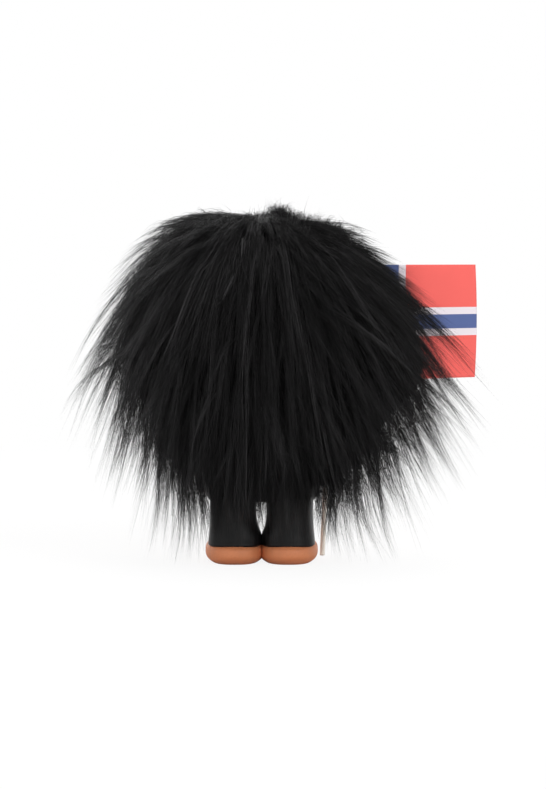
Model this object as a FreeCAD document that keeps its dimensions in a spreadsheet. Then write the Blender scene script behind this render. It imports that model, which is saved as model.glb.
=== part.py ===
"""A standing folk troll with a long black fur mane, holding a flag on a stick in its right fist.

Millimetres, +Z up. The origin is on the floor where the two heels meet. The troll faces -Y, so
its right hand is on the -X side. The body is cast in separate pieces that meet on cupped or flat
seats and are held by hidden pins. The mane is a pelt over the head and back, with its pile in six
soft pieces. The stick slides in the fist, and the flag's sleeve turns on the stick.
"""
import FreeCAD, Part
import math
import os
import Sketcher

from FreeCAD import Placement, Rotation, Vector

DRIVING_SIZES = [
    # clearances, shared by every pair of the kind that they name
    ("seat_gap", 0.12),
    ("soft_gap", 0.4),
    ("pin_gap", 0.05),
    ("slide_gap", 0.08),
    ("overrun", 6.0),
    # feet
    ("foot_x", 11.2),
    ("heel_y", 1.0),
    ("heel_z", 2.4),
    ("heel_half_width", 12.1),
    ("heel_half_depth", 11.8),
    ("heel_half_height", 8.2),
    ("instep_y", -12.0),
    ("instep_z", 2.0),
    ("instep_half_width", 11.6),
    ("instep_half_depth", 16.0),
    ("instep_half_height", 6.6),
    ("toe_y", -26.5),
    ("toe_z", 2.6),
    ("toe_pitch", 5.3),
    ("toe_half_width", 2.7),
    ("toe_half_depth", 4.8),
    ("toe_half_height", 3.2),
    # trouser legs
    ("leg_x", 11.2),
    ("leg_y", 0.6),
    ("hem_radius", 10.5),
    ("hem_top_z", 11.0),
    ("shin_radius", 9.7),
    ("shin_z", 18.0),
    ("thigh_radius", 10.2),
    ("leg_top_z", 26.0),
    # trouser seat
    ("trunk_y", -1.0),
    ("seat_low_half_width", 21.8),
    ("seat_low_half_depth", 12.6),
    ("seat_wide_z", 35.0),
    ("seat_wide_half_width", 25.0),
    ("seat_wide_half_depth", 17.6),
    ("waist_z", 45.0),
    ("waist_half_width", 24.4),
    ("waist_half_depth", 17.4),
    # torso
    ("waist_step", 0.9),
    ("belly_z", 54.0),
    ("belly_half_width", 24.6),
    ("belly_half_depth", 19.0),
    ("chest_z", 66.0),
    ("chest_half_width", 20.4),
    ("chest_half_depth", 15.4),
    ("shoulder_z", 78.0),
    ("shoulder_half_width", 13.4),
    ("shoulder_half_depth", 10.6),
    # head and face
    ("head_y", -2.0),
    ("head_z", 104.5),
    ("head_half_width", 33.0),
    ("head_half_depth", 28.0),
    ("head_half_height", 33.5),
    ("nose_y", -33.0),
    ("nose_z", 97.0),
    ("nose_half_width", 8.6),
    ("nose_half_depth", 10.5),
    ("nose_half_height", 8.0),
    ("nostril_x", 7.0),
    ("nostril_y", -30.0),
    ("nostril_z", 93.6),
    ("nostril_radius", 4.2),
    ("cheek_x", 15.5),
    ("cheek_y", -20.0),
    ("cheek_z", 91.0),
    ("cheek_radius", 9.0),
    ("muzzle_y", -20.0),
    ("muzzle_z", 84.5),
    ("muzzle_half_width", 15.0),
    ("muzzle_half_depth", 11.5),
    ("muzzle_half_height", 8.0),
    ("chin_y", -18.5),
    ("chin_z", 77.0),
    ("chin_half_width", 11.5),
    ("chin_half_depth", 9.5),
    ("chin_half_height", 7.5),
    ("brow_y", -26.4),
    ("brow_z", 110.0),
    ("brow_half_width", 18.5),
    ("brow_half_depth", 6.2),
    ("brow_half_height", 4.2),
    ("mouth_z", 83.4),
    ("mouth_bow_radius", 16.0),
    ("mouth_line_radius", 1.0),
    ("eye_x", 9.6),
    ("eye_y", -26.6),
    ("eye_z", 103.2),
    ("eye_radius", 4.0),
    # ears
    ("ear_x", 34.0),
    ("ear_y", -16.6),
    ("ear_z", 101.0),
    ("ear_half_width", 9.5),
    ("ear_half_depth", 3.2),
    ("ear_half_height", 11.0),
    ("ear_hollow_shift", 1.4),
    ("ear_hollow_half_width", 6.2),
    ("ear_hollow_half_depth", 2.2),
    ("ear_hollow_half_height", 7.6),
    # arms, as a chain of round sections from shoulder to wrist
    ("arm_shoulder_x", 18.6),
    ("arm_shoulder_y", -0.6),
    ("arm_shoulder_z", 66.0),
    ("arm_shoulder_radius", 6.2),
    ("arm_elbow_x", 30.6),
    ("arm_elbow_y", -3.6),
    ("arm_elbow_z", 52.5),
    ("arm_elbow_radius", 4.7),
    ("arm_wrist_x", 28.6),
    ("arm_wrist_y", -13.4),
    ("arm_wrist_z", 48.2),
    ("arm_wrist_radius", 3.7),
    # fists
    ("palm_setback", 4.2),
    ("palm_half_width", 5.6),
    ("palm_half_depth", 5.0),
    ("palm_half_height", 7.4),
    ("finger_radius", 1.95),
    ("finger_pitch", 3.5),
    ("finger_half_width", 4.7),
    ("finger_half_depth", 4.0),
    ("finger_forward", 0.4),
    ("thumb_half_width", 1.9),
    ("thumb_half_height", 5.2),
    ("thumb_half_depth", 4.1),
    ("thumb_back", 0.7),
    ("grip_height", 47.5),
    # stick and flag
    ("stick_x", -25.4),
    ("stick_y", -24.0),
    ("stick_radius", 1.05),
    ("stick_length", 127.0),
    ("stick_chamfer", 0.3),
    ("flag_bottom", 76.5),
    ("flag_height", 48.0),
    ("flag_length", 66.0),
    ("flag_straight", 28.0),
    ("flag_bend_radius", 20.0),
    ("flag_thickness", 0.5),
    ("sleeve_wall", 0.6),
    # hidden pins
    ("ankle_pin_radius", 2.0),
    ("ankle_pin_low_z", 3.0),
    ("ankle_pin_high_z", 17.0),
    ("hip_pin_radius", 2.0),
    ("hip_pin_low_z", 20.0),
    ("hip_pin_high_z", 34.0),
    ("waist_pin_radius", 3.0),
    ("waist_pin_low_z", 38.0),
    ("waist_pin_high_z", 56.0),
    ("neck_pin_radius", 4.0),
    ("neck_pin_low_z", 60.0),
    ("neck_pin_high_z", 86.0),
    ("shoulder_pin_radius", 1.6),
    ("shoulder_pin_reach", 9.0),
    ("shoulder_pin_tip", 3.4),
    ("wrist_pin_radius", 1.1),
    ("wrist_pin_reach", 4.6),
    # pelt
    ("pelt_thickness", 1.2),
    ("pelt_hem_z", 52.0),
    ("pelt_front_y", -9.0),
    ("hairline_z", 119.0),
    ("cape_half_width", 42.0),
    ("cape_half_depth", 33.0),
    # pile
    ("pile_x", -3.0),
    ("pile_y", -4.0),
    ("pile_top_z", 134.0),
    ("pile_front_y", -19.4),
    ("mantle_half_width", 76.0),
    ("mantle_half_depth", 60.0),
    ("mantle_thickness", 12.0),
    ("crown_rise", 13.0),
    ("fringe_depth", 5.0),
    ("fringe_hem_z", 113.0),
    ("fringe_half_width", 21.0),
    ("tip_z", 1.6),
]

# The pile's outline from its top down: height, and how wide the mantle is there.
LEVEL_SHARES = (1.0, 0.91, 0.79, 0.67, 0.55, 0.45, 0.34, 0.22, 0.10, 0.012)
MANTLE_SHARES = (0.59, 0.715, 0.83, 0.93, 0.99, 1.0, 0.93, 0.82, 0.67, 0.58)
CROWN_LEVEL_SHARES = (0.0, 0.4, 0.72, 1.0)
CROWN_WIDTH_SHARES = (0.59, 0.46, 0.29, 0.08)

# One row per notch between two locks: its bearing from the back, and how high it reaches.
MANTLE_NOTCH_SHARES = (
    (-1.27, 0.42), (-1.10, 0.54), (-0.97, 0.47), (-0.86, 0.41), (-0.69, 0.37),
    (-0.49, 0.40), (-0.38, 0.47), (-0.27, 0.50), (-0.16, 0.45), (-0.05, 0.49),
    (0.06, 0.44), (0.17, 0.50), (0.28, 0.46), (0.39, 0.48), (0.50, 0.40),
    (0.71, 0.37), (0.88, 0.42), (1.01, 0.49), (1.12, 0.53), (1.28, 0.42),
)
UNDER_NOTCH_SHARES = (
    (-0.84, 0.31), (-0.67, 0.25), (-0.51, 0.30), (-0.34, 0.24), (-0.17, 0.28), (0.0, 0.23),
    (0.17, 0.29), (0.34, 0.25), (0.51, 0.31), (0.68, 0.26), (0.84, 0.30),
)
FRINGE_NOTCH_SHARES = ((-0.72, 0.90), (-0.30, 0.93), (0.10, 0.89), (0.52, 0.92), (0.86, 0.90))
NOTCH_SLOPE_SHARE = 0.16
FRINGE_SLOPE_SHARE = 0.30

# The toes from the big one out: size, place across the foot, and how far each is set back.
TOE_SIZE_SHARES = (1.28, 1.0, 0.92, 0.84)
TOE_PLACE_SHARES = (-1.45, -0.28, 0.65, 1.45)
TOE_SETBACK_SHARES = (0.0, 0.0, 0.22, 0.62)

FINGERS = 4
EGG_SECTIONS = 7
EGG_POLE_DEGREES = 82.0
QUARTER_TURN = 90.0
BACK_SPLIT_DEGREES = 41.0
SIDE_END_DEGREES = 150.0
NOTCH_REACH_DEGREES = 5.0
STICK_LEAN_DEGREES = 2.5
FLAG_BEND_DEGREES = 36.0
EAR_LEAN_DEGREES = 16.0

doc = FreeCAD.newDocument("troll")
sheet = doc.addObject("Spreadsheet::Sheet", "Sizes")
for row, (alias, value) in enumerate(DRIVING_SIZES, start=1):
    sheet.set(f"A{row}", alias.replace("_", " "))
    sheet.set(f"B{row}", str(value))
    sheet.setAlias(f"B{row}", alias)
doc.recompute()

outlets = []


def size(alias):
    """The number in the sheet's cell of that name."""
    return float(sheet.get(alias))


def bind(obj, **expressions):
    """Binds properties to the sheet; S. stands before each cell's name."""
    for prop, expression in expressions.items():
        obj.setExpression(prop, expression.replace("S.", "Sizes."))
    return obj


def at(obj, x="0", y="0", z="0"):
    """Binds where an object sits."""
    for axis, expression in (("x", x), ("y", y), ("z", z)):
        obj.setExpression(f"Placement.Base.{axis}", expression.replace("S.", "Sizes."))
    return obj


def oval(name, half_width, half_depth, x="0", y="0", z="0", turn_degrees=0):
    """A level ellipse, a section of a loft; its longer axis comes first, whichever that is."""
    obj = doc.addObject("Part::Ellipse", name)
    wide, deep = f"({half_width})", f"({half_depth})"
    bind(obj, MajorRadius=f"max({wide}; {deep})", MinorRadius=f"min({wide}; {deep})")
    obj.Placement.Rotation = Rotation(Vector(0, 0, 1), QUARTER_TURN)
    turned = f"{wide} >= {deep} ? {turn_degrees} deg : {turn_degrees + QUARTER_TURN} deg"
    obj.setExpression("Placement.Rotation.Angle", turned.replace("S.", "Sizes."))
    return at(obj, x, y, z)


def loft(name, sections):
    """A smooth solid through level sections."""
    obj = doc.addObject("Part::Loft", name)
    obj.Sections = sections
    obj.Solid = True
    obj.Ruled = False
    return obj


def egg(name, half_width, half_depth, half_height, x="0", y="0", z="0", place=None):
    """A solid with level oval sections and half sizes along X, Y and Z, or along a placement's axes."""
    sections = []
    for step in range(EGG_SECTIONS):
        latitude = math.radians(EGG_POLE_DEGREES * (2 * step / (EGG_SECTIONS - 1) - 1))
        spread = math.cos(latitude)
        rise = math.sin(latitude)
        section = oval(
            f"{name}_{step + 1}", f"({half_width}) * {spread:.5f}", f"({half_depth}) * {spread:.5f}",
            x, y, f"{z} + ({half_height}) * {rise:.5f}",
        )
        if place is not None:
            tilt = doc.addObject("Part::Compound", f"{name}_tilted_{step + 1}")
            tilt.Links = [section]
            tilt.Placement = place
            section = tilt
        sections.append(section)
    return loft(name, sections)


def ball(name, radius, x, y, z):
    """A whole sphere."""
    obj = doc.addObject("Part::Sphere", name)
    bind(obj, Radius=radius)
    return at(obj, x, y, z)


def cylinder(name, radius, height, x="0", y="0", z="0"):
    """An upright cylinder whose foot is at x, y, z."""
    obj = doc.addObject("Part::Cylinder", name)
    bind(obj, Radius=radius, Height=height)
    return at(obj, x, y, z)


def box(name, length, width, height, x="0", y="0", z="0"):
    """A box from its lowest corner."""
    obj = doc.addObject("Part::Box", name)
    bind(obj, Length=length, Width=width, Height=height)
    return at(obj, x, y, z)


def fuse(name, *parts):
    """One solid from several that overlap."""
    obj = doc.addObject("Part::MultiFuse", name)
    obj.Shapes = list(parts)
    return obj


def cut(name, base, *tools):
    """What is left of base where the tools aren't, taken away one after another."""
    for tool in tools:
        obj = doc.addObject("Part::Cut", name)
        obj.Base = base
        obj.Tool = tool
        base = obj
    return base


def common(name, base, tool):
    """What two solids share."""
    obj = doc.addObject("Part::Common", name)
    obj.Base = base
    obj.Tool = tool
    return obj


def mirror(name, source):
    """The same piece on the other side of the figure's middle plane."""
    obj = doc.addObject("Part::Mirroring", name)
    obj.Source = source
    obj.Base = Vector(0, 0, 0)
    obj.Normal = Vector(1, 0, 0)
    return obj


def feature(name, shape):
    """A piece whose shape is worked out here from the sheet's sizes."""
    obj = doc.addObject("Part::Feature", name)
    obj.Shape = shape
    return obj


def node(name, obj):
    """Marks an object as a finished piece with the name that its file takes."""
    obj.Label = name
    outlets.append(obj)
    return obj


# Feet

def foot_forms(name, grown):
    """The heel and instep of the left foot, grown by an expression."""
    heel = egg(
        name + "_heel",
        f"S.heel_half_width + {grown}", f"S.heel_half_depth + {grown}",
        f"S.heel_half_height + {grown}", "S.foot_x", "S.heel_y", "S.heel_z",
    )
    instep = egg(
        name + "_instep",
        f"S.instep_half_width + {grown}", f"S.instep_half_depth + {grown}",
        f"S.instep_half_height + {grown}", "S.foot_x", "S.instep_y", "S.instep_z",
    )
    return [heel, instep]


foot_parts = foot_forms("foot", "0 * S.seat_gap")
toes = zip(TOE_SIZE_SHARES, TOE_PLACE_SHARES, TOE_SETBACK_SHARES)
for number, (scale, place, setback) in enumerate(toes, start=1):
    foot_parts.append(egg(
        f"toe_{number}", f"S.toe_half_width * {scale}", f"S.toe_half_depth * {scale}",
        f"S.toe_half_height * {scale}", f"S.foot_x + S.toe_pitch * {place}",
        f"S.toe_y + S.toe_half_depth * {setback}", "S.toe_z",
    ))
foot_block = fuse("foot_block", *foot_parts)
foot_room = box(
    "foot_room", "2 * S.heel_half_width + S.overrun",
    "2 * (S.heel_half_depth + S.instep_half_depth) + 4 * S.toe_half_depth + 2 * S.overrun",
    "S.heel_z + S.heel_half_height + S.overrun",
    "S.seat_gap", "S.toe_y - 2 * S.toe_half_depth - S.overrun", "0",
)
ankle_hole = cylinder(
    "ankle_hole", "S.ankle_pin_radius + S.pin_gap",
    "S.ankle_pin_high_z - S.ankle_pin_low_z + 2 * S.pin_gap",
    "S.leg_x", "S.leg_y", "S.ankle_pin_low_z - S.pin_gap",
)
left_foot = node("left_foot", cut("foot_drilled", common("foot_flat", foot_block, foot_room), ankle_hole))
node("right_foot", mirror("foot_mirrored", left_foot))

# Trouser legs

leg_sections = []
for number, (radius, height) in enumerate((
    ("S.hem_radius", "S.heel_z"), ("S.hem_radius", "S.hem_top_z"), ("S.shin_radius", "S.shin_z"),
    ("S.thigh_radius", "S.leg_top_z"),
), start=1):
    leg_sections.append(oval(f"leg_ring_{number}", radius, radius, "S.leg_x", "S.leg_y", height))
hip_hole = cylinder(
    "hip_hole", "S.hip_pin_radius + S.pin_gap",
    "S.hip_pin_high_z - S.hip_pin_low_z + 2 * S.pin_gap",
    "S.leg_x", "S.leg_y", "S.hip_pin_low_z - S.pin_gap",
)
left_leg = node("left_leg", cut(
    "leg_seated", loft("leg_tube", leg_sections), *foot_forms("leg_seat", "S.seat_gap"),
    ankle_hole, hip_hole,
))
node("right_leg", mirror("leg_mirrored", left_leg))

# Trouser seat and torso


def trunk_loft(name, levels, grown="0 * S.seat_gap"):
    """A smooth trunk through (half width, half depth, height) levels, grown sideways."""
    return loft(name, [
        oval(f"{name}_{number}", f"{wide} + {grown}", f"{deep} + {grown}", "0", "S.trunk_y", height)
        for number, (wide, deep, height) in enumerate(levels, start=1)
    ])


waist_hole = cylinder(
    "waist_hole", "S.waist_pin_radius + S.pin_gap",
    "S.waist_pin_high_z - S.waist_pin_low_z + 2 * S.pin_gap",
    "0", "S.trunk_y", "S.waist_pin_low_z - S.pin_gap",
)
neck_hole = cylinder(
    "neck_hole", "S.neck_pin_radius + S.pin_gap",
    "S.neck_pin_high_z - S.neck_pin_low_z + 2 * S.pin_gap",
    "0", "S.trunk_y", "S.neck_pin_low_z - S.pin_gap",
)
seat_form = trunk_loft("seat_form", (
    ("S.seat_low_half_width", "S.seat_low_half_depth", "S.leg_top_z + S.seat_gap"),
    ("S.seat_wide_half_width", "S.seat_wide_half_depth", "S.seat_wide_z"),
    ("S.waist_half_width", "S.waist_half_depth", "S.waist_z"),
))
node("trousers", cut(
    "trousers_drilled", seat_form, waist_hole, hip_hole, mirror("hip_hole_right", hip_hole),
))

TORSO_LEVELS = (
    ("S.waist_half_width - S.waist_step", "S.waist_half_depth - S.waist_step", "S.waist_z + S.seat_gap"),
    ("S.belly_half_width", "S.belly_half_depth", "S.belly_z"),
    ("S.chest_half_width", "S.chest_half_depth", "S.chest_z"),
    ("S.shoulder_half_width", "S.shoulder_half_depth", "S.shoulder_z"),
)


def head_forms(name, grown):
    """The head's and chin's main forms, grown by an expression."""
    return [
        egg(
            name + "_skull", f"S.head_half_width + {grown}", f"S.head_half_depth + {grown}",
            f"S.head_half_height + {grown}", "0", "S.head_y", "S.head_z",
        ),
        egg(
            name + "_chin", f"S.chin_half_width + {grown}", f"S.chin_half_depth + {grown}",
            f"S.chin_half_height + {grown}", "0", "S.chin_y", "S.chin_z",
        ),
    ]


def shoulder_pin_shape(radius, spare):
    """The left shoulder's pin along X, with a radius and spare length at each end."""
    start = size("arm_shoulder_x") - size("shoulder_pin_reach") - spare
    length = size("shoulder_pin_reach") + size("shoulder_pin_tip") + 2 * spare
    foot = Vector(start, size("arm_shoulder_y"), size("arm_shoulder_z"))
    return Part.makeCylinder(radius, length, foot, Vector(1, 0, 0))


shoulder_hole = feature(
    "shoulder_hole", shoulder_pin_shape(size("shoulder_pin_radius") + size("pin_gap"), size("pin_gap"))
)
node("torso", cut(
    "torso_drilled", trunk_loft("torso_form", TORSO_LEVELS), *head_forms("torso_seat", "S.seat_gap"),
    waist_hole, neck_hole, shoulder_hole, mirror("shoulder_hole_right", shoulder_hole),
))

# Head

nostril = ball("nostril", "S.nostril_radius", "S.nostril_x", "S.nostril_y", "S.nostril_z")
cheek = ball("cheek", "S.cheek_radius", "S.cheek_x", "S.cheek_y", "S.cheek_z")


def brow_form(name, grown):
    """The brow ridge, grown by an expression."""
    return egg(
        name, f"S.brow_half_width + {grown}", f"S.brow_half_depth + {grown}",
        f"S.brow_half_height + {grown}", "0", "S.brow_y", "S.brow_z",
    )


head_block = fuse(
    "head_block", *head_forms("head", "0 * S.seat_gap"),
    egg(
        "nose", "S.nose_half_width", "S.nose_half_depth", "S.nose_half_height",
        "0", "S.nose_y", "S.nose_z",
    ),
    egg(
        "muzzle", "S.muzzle_half_width", "S.muzzle_half_depth", "S.muzzle_half_height",
        "0", "S.muzzle_y", "S.muzzle_z",
    ),
    nostril, mirror("nostril_right", nostril), cheek, mirror("cheek_right", cheek),
    brow_form("brow", "0 * S.seat_gap"),
)
mouth = doc.addObject("Part::Torus", "mouth")
bind(mouth, Radius1="S.mouth_bow_radius", Radius2="S.mouth_line_radius")
at(mouth, "0", "S.muzzle_y - S.muzzle_half_depth", "S.mouth_z + S.mouth_bow_radius")
mouth.Placement.Rotation = Rotation(Vector(1, 0, 0), QUARTER_TURN)
mouth_room = box(
    "mouth_room", "2 * S.muzzle_half_width", "2 * S.muzzle_half_depth", "S.muzzle_half_height",
    "-S.muzzle_half_width", "S.muzzle_y - 2 * S.muzzle_half_depth", "S.mouth_z - 2 * S.mouth_line_radius",
)
eye_socket = ball("eye_socket", "S.eye_radius + S.seat_gap", "S.eye_x", "S.eye_y", "S.eye_z")
node("head", cut(
    "head_carved", head_block, common("mouth_line", mouth, mouth_room),
    eye_socket, mirror("eye_socket_right", eye_socket), neck_hole,
))
left_eye = node("left_eye", ball("eye_ball", "S.eye_radius", "S.eye_x", "S.eye_y", "S.eye_z"))
node("right_eye", mirror("eye_ball_right", left_eye))

# Ears


def ear_form(name, half_width, half_depth, half_height, y):
    """A flat oval form that leans out at the top like the ear."""
    middle = Vector(size("ear_x"), size("ear_y"), size("ear_z"))
    lean = Placement(middle, Rotation(Vector(0, 1, 0), EAR_LEAN_DEGREES))
    return egg(name, half_width, half_depth, half_height, y=y, place=lean)


ear_shell = cut(
    "ear_shell",
    ear_form("ear_block", "S.ear_half_width", "S.ear_half_depth", "S.ear_half_height", "0"),
    ear_form(
        "ear_hollow", "S.ear_hollow_half_width", "S.ear_hollow_half_depth",
        "S.ear_hollow_half_height", "S.ear_hollow_shift - S.ear_half_depth",
    ),
    head_forms("ear_seat", "S.seat_gap")[0],
)
left_ear = node("left_ear", ear_shell)
node("right_ear", mirror("ear_mirrored", left_ear))

# Arms


def arm_shape(grown):
    """The left arm: round joints at shoulder, elbow and wrist with tapers between them."""
    joints = []
    for part in ("shoulder", "elbow", "wrist"):
        place = Vector(*(size(f"arm_{part}_{axis}") for axis in "xyz"))
        joints.append((place, size(f"arm_{part}_radius") + grown))
    solids = [Part.makeSphere(radius, place) for place, radius in joints]
    for (start, start_radius), (end, end_radius) in zip(joints, joints[1:]):
        run = end - start
        solids.append(Part.makeCone(start_radius, end_radius, run.Length, start, run))
    return solids[0].fuse(solids[1:])


def stick_frame():
    """The stick's own frame: its foot at the floor, +Z up along the lean."""
    rise = size("stick_radius") * math.sin(math.radians(STICK_LEAN_DEGREES))
    lean = Rotation(Vector(0, 1, 0), -STICK_LEAN_DEGREES)
    return Placement(Vector(size("stick_x"), size("stick_y"), rise), lean)


def along_stick(height):
    """The point on the stick's line at a length above its foot."""
    return stick_frame().multVec(Vector(0, 0, height))


def palm_centre():
    """The middle of the right palm, behind the stick."""
    return along_stick(size("grip_height")) + Vector(0, size("palm_setback"), 0)


def wrist_pin_shape(radius, spare):
    """The right wrist's pin, on the line from the wrist to the palm."""
    wrist = Vector(-size("arm_wrist_x"), size("arm_wrist_y"), size("arm_wrist_z"))
    run = palm_centre() - wrist
    run.normalize()
    reach = size("wrist_pin_reach") + spare
    return Part.makeCylinder(radius, 2 * reach, wrist - run * reach, run)


wrist_hole = feature(
    "wrist_hole", wrist_pin_shape(size("wrist_pin_radius") + size("pin_gap"), size("pin_gap"))
)
wrist_hole_left = mirror("wrist_hole_left", wrist_hole)
left_arm = node("left_arm", cut(
    "arm_seated", feature("arm_form", arm_shape(0)), shoulder_hole, wrist_hole_left,
    trunk_loft("arm_seat", TORSO_LEVELS, "S.seat_gap"),
))
node("right_arm", mirror("arm_mirrored", left_arm))

# Fists


def fist(name):
    """A right fist closed round the stick's line: four rolled fingers, a palm behind and a thumb."""
    lean = stick_frame().Rotation
    half_sizes = {
        "finger": ("S.finger_radius", "S.finger_half_width", "S.finger_half_depth"),
        "palm": ("S.palm_half_height", "S.palm_half_width", "S.palm_half_depth"),
        "thumb": ("S.thumb_half_height", "S.thumb_half_width", "S.thumb_half_depth"),
    }
    thumb_out = size("finger_half_width") + size("thumb_half_width") / 2
    grip = along_stick(size("grip_height"))
    places = [("palm", palm_centre()), ("thumb", grip + Vector(thumb_out, size("thumb_back"), 0))]
    for index in range(FINGERS):
        height = size("grip_height") + (index - (FINGERS - 1) / 2) * size("finger_pitch")
        places.append(("finger", along_stick(height) - Vector(0, size("finger_forward"), 0)))
    parts = []
    for kind, place in places:
        tall, wide, deep = half_sizes[kind]
        parts.append(egg(f"{name}_{kind}", wide, deep, tall, place=Placement(place, lean)))
    return fuse(name + "_block", fuse(name + "_fingers", *parts[2:]), parts[0], parts[1])


def grip_rod(name, radius):
    """A rod on the stick's line through the whole fist."""
    obj = doc.addObject("Part::Cylinder", name)
    bind(obj, Radius=radius, Height="2 * (S.palm_half_height + S.overrun)")
    low = size("grip_height") - size("palm_half_height") - size("overrun")
    obj.Placement = stick_frame().multiply(Placement(Vector(0, 0, low), Rotation()))
    return obj


wrist_seat = feature("wrist_seat", arm_shape(size("seat_gap")))
wrist_seat_right = mirror("wrist_seat_right", wrist_seat)
node("right_hand", cut(
    "right_hand_bored", fist("right_fist"),
    grip_rod("stick_bore", "S.stick_radius + S.slide_gap"), wrist_seat_right, wrist_hole,
))
node("left_hand", mirror("left_hand_mirrored", cut(
    "left_hand_seated", fist("left_fist"), wrist_seat_right, wrist_hole,
)))

# Pins


def pin_pair(name, radius, low, high):
    """A left and a right upright pin in the legs' line, as one piece of two solids."""
    left = cylinder(name + "_left", radius, f"{high} - {low}", "S.leg_x", "S.leg_y", low)
    pair = doc.addObject("Part::Compound", name)
    pair.Links = [left, mirror(name + "_right", left)]
    return node(name + "s", pair)


def mirrored_pair(name, left):
    """A worked-out pin and its mirror image, as one piece of two solids."""
    pair = doc.addObject("Part::Compound", name)
    pair.Links = [left, mirror(name + "_other", left)]
    return node(name + "s", pair)


pin_pair("ankle_pin", "S.ankle_pin_radius", "S.ankle_pin_low_z", "S.ankle_pin_high_z")
pin_pair("hip_pin", "S.hip_pin_radius", "S.hip_pin_low_z", "S.hip_pin_high_z")
node("waist_pin", cylinder(
    "waist_dowel", "S.waist_pin_radius", "S.waist_pin_high_z - S.waist_pin_low_z",
    "0", "S.trunk_y", "S.waist_pin_low_z",
))
node("neck_pin", cylinder(
    "neck_dowel", "S.neck_pin_radius", "S.neck_pin_high_z - S.neck_pin_low_z",
    "0", "S.trunk_y", "S.neck_pin_low_z",
))
mirrored_pair("shoulder_pin", feature("shoulder_dowel", shoulder_pin_shape(size("shoulder_pin_radius"), 0)))
mirrored_pair("wrist_pin", feature("wrist_dowel", wrist_pin_shape(size("wrist_pin_radius"), 0)))

# Pelt


def pelt_forms(name, grown):
    """A cap over the skull and a cape that falls from it past the back, grown by an expression."""
    cap = egg(
        name + "_cap", f"S.head_half_width + {grown}", f"S.head_half_depth + {grown}",
        f"S.head_half_height + {grown}", "0", "S.head_y", "S.head_z",
    )
    cape = loft(name + "_cape", [
        oval(name + "_cape_top", f"S.head_half_width + {grown}", f"S.head_half_depth + {grown}",
             "0", "S.head_y", "S.head_z"),
        oval(name + "_cape_low", f"S.cape_half_width + {grown}", f"S.cape_half_depth + {grown}",
             "0", "S.head_y", "S.waist_z"),
        oval(name + "_cape_end", f"S.cape_half_width + {grown}", f"S.cape_half_depth + {grown}",
             "0", "S.head_y", "-S.overrun"),
    ])
    return fuse(name + "_form", cap, cape)


def behind(name, front, low, high="S.pile_top_z + S.crown_rise + S.overrun"):
    """The room behind a front plane and between two heights."""
    return box(
        name, "4 * S.mantle_half_width", "4 * S.mantle_half_depth", f"{high} - ({low})",
        "-2 * S.mantle_half_width", front, low,
    )


pelt_skin = cut(
    "pelt_skin", pelt_forms("pelt_outer", "S.soft_gap + S.pelt_thickness"),
    pelt_forms("pelt_inner", "S.soft_gap"),
)
pelt_room = fuse(
    "pelt_room", behind("pelt_back_room", "S.pelt_front_y", "S.pelt_hem_z"),
    behind("pelt_top_room", "S.head_y - 2 * S.head_half_depth", "S.hairline_z"),
)
node("pelt", common("pelt_trimmed", pelt_skin, pelt_room))

# Pile


def envelope(name, inset, seam_degrees=0):
    """The pile's outer form below the crown, drawn in by an expression."""
    sections = []
    for number, (level, share) in enumerate(zip(LEVEL_SHARES, MANTLE_SHARES), start=1):
        sections.append(oval(
            f"{name}_{number}",
            f"S.mantle_half_width * {share} - ({inset})", f"S.mantle_half_depth * {share} - ({inset})",
            "S.pile_x", "S.pile_y", f"S.pile_top_z * {level}", seam_degrees,
        ))
    return loft(name, sections)


def notches(name, rows, floor, slope_share, inner, outer):
    """Upright wedges that point out from the pile's middle and part it into tapering locks."""
    middle = Vector(size("pile_x"), size("pile_y"), 0)
    wedges = []
    for bearing_share, top_share in rows:
        top = size("pile_top_z") * top_share
        low = floor - size("overrun")
        half = slope_share * (top - low)
        corners = [Vector(-half, inner, low), Vector(half, inner, low), Vector(0, inner, top)]
        outline = Part.makePolygon(corners + corners[:1])
        wedge = Part.Face(outline).extrude(Vector(0, outer - inner, 0))
        wedge.rotate(Vector(0, 0, 0), Vector(0, 0, 1), bearing_share * QUARTER_TURN)
        wedge.translate(middle)
        wedges.append(feature(name, wedge))
    return wedges


def sector(name, start_degrees, end_degrees):
    """A tall wedge of the pile between two bearings from the back."""
    reach = 3 * size("mantle_half_width")
    corners = [Vector(0, 0, 0)]
    for degrees in (start_degrees, (start_degrees + end_degrees) / 2, end_degrees):
        turn = math.radians(degrees)
        corners.append(Vector(-reach * math.sin(turn), reach * math.cos(turn), 0))
    corners.append(corners[0])
    height = size("pile_top_z") + 2 * size("overrun")
    wedge = Part.Face(Part.makePolygon(corners)).extrude(Vector(0, 0, height))
    wedge.translate(Vector(size("pile_x"), size("pile_y"), -size("overrun")))
    return feature(name, wedge)


pile_reach = 2 * size("mantle_half_width")
pile_core = size("cape_half_width") / 4


def mantle_shell(name, seam_degrees):
    """The mantle behind its front plane, as a shell whose surface closes at a bearing off the cuts."""
    outer = envelope(name + "_outer", "0 * S.soft_gap", seam_degrees)
    room = behind(name + "_room", "S.pile_front_y", "S.tip_z", "S.pile_top_z")
    inner = envelope(name + "_inner", "S.mantle_thickness", seam_degrees)
    return cut(name, common(name + "_behind", outer, room), inner)


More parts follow.
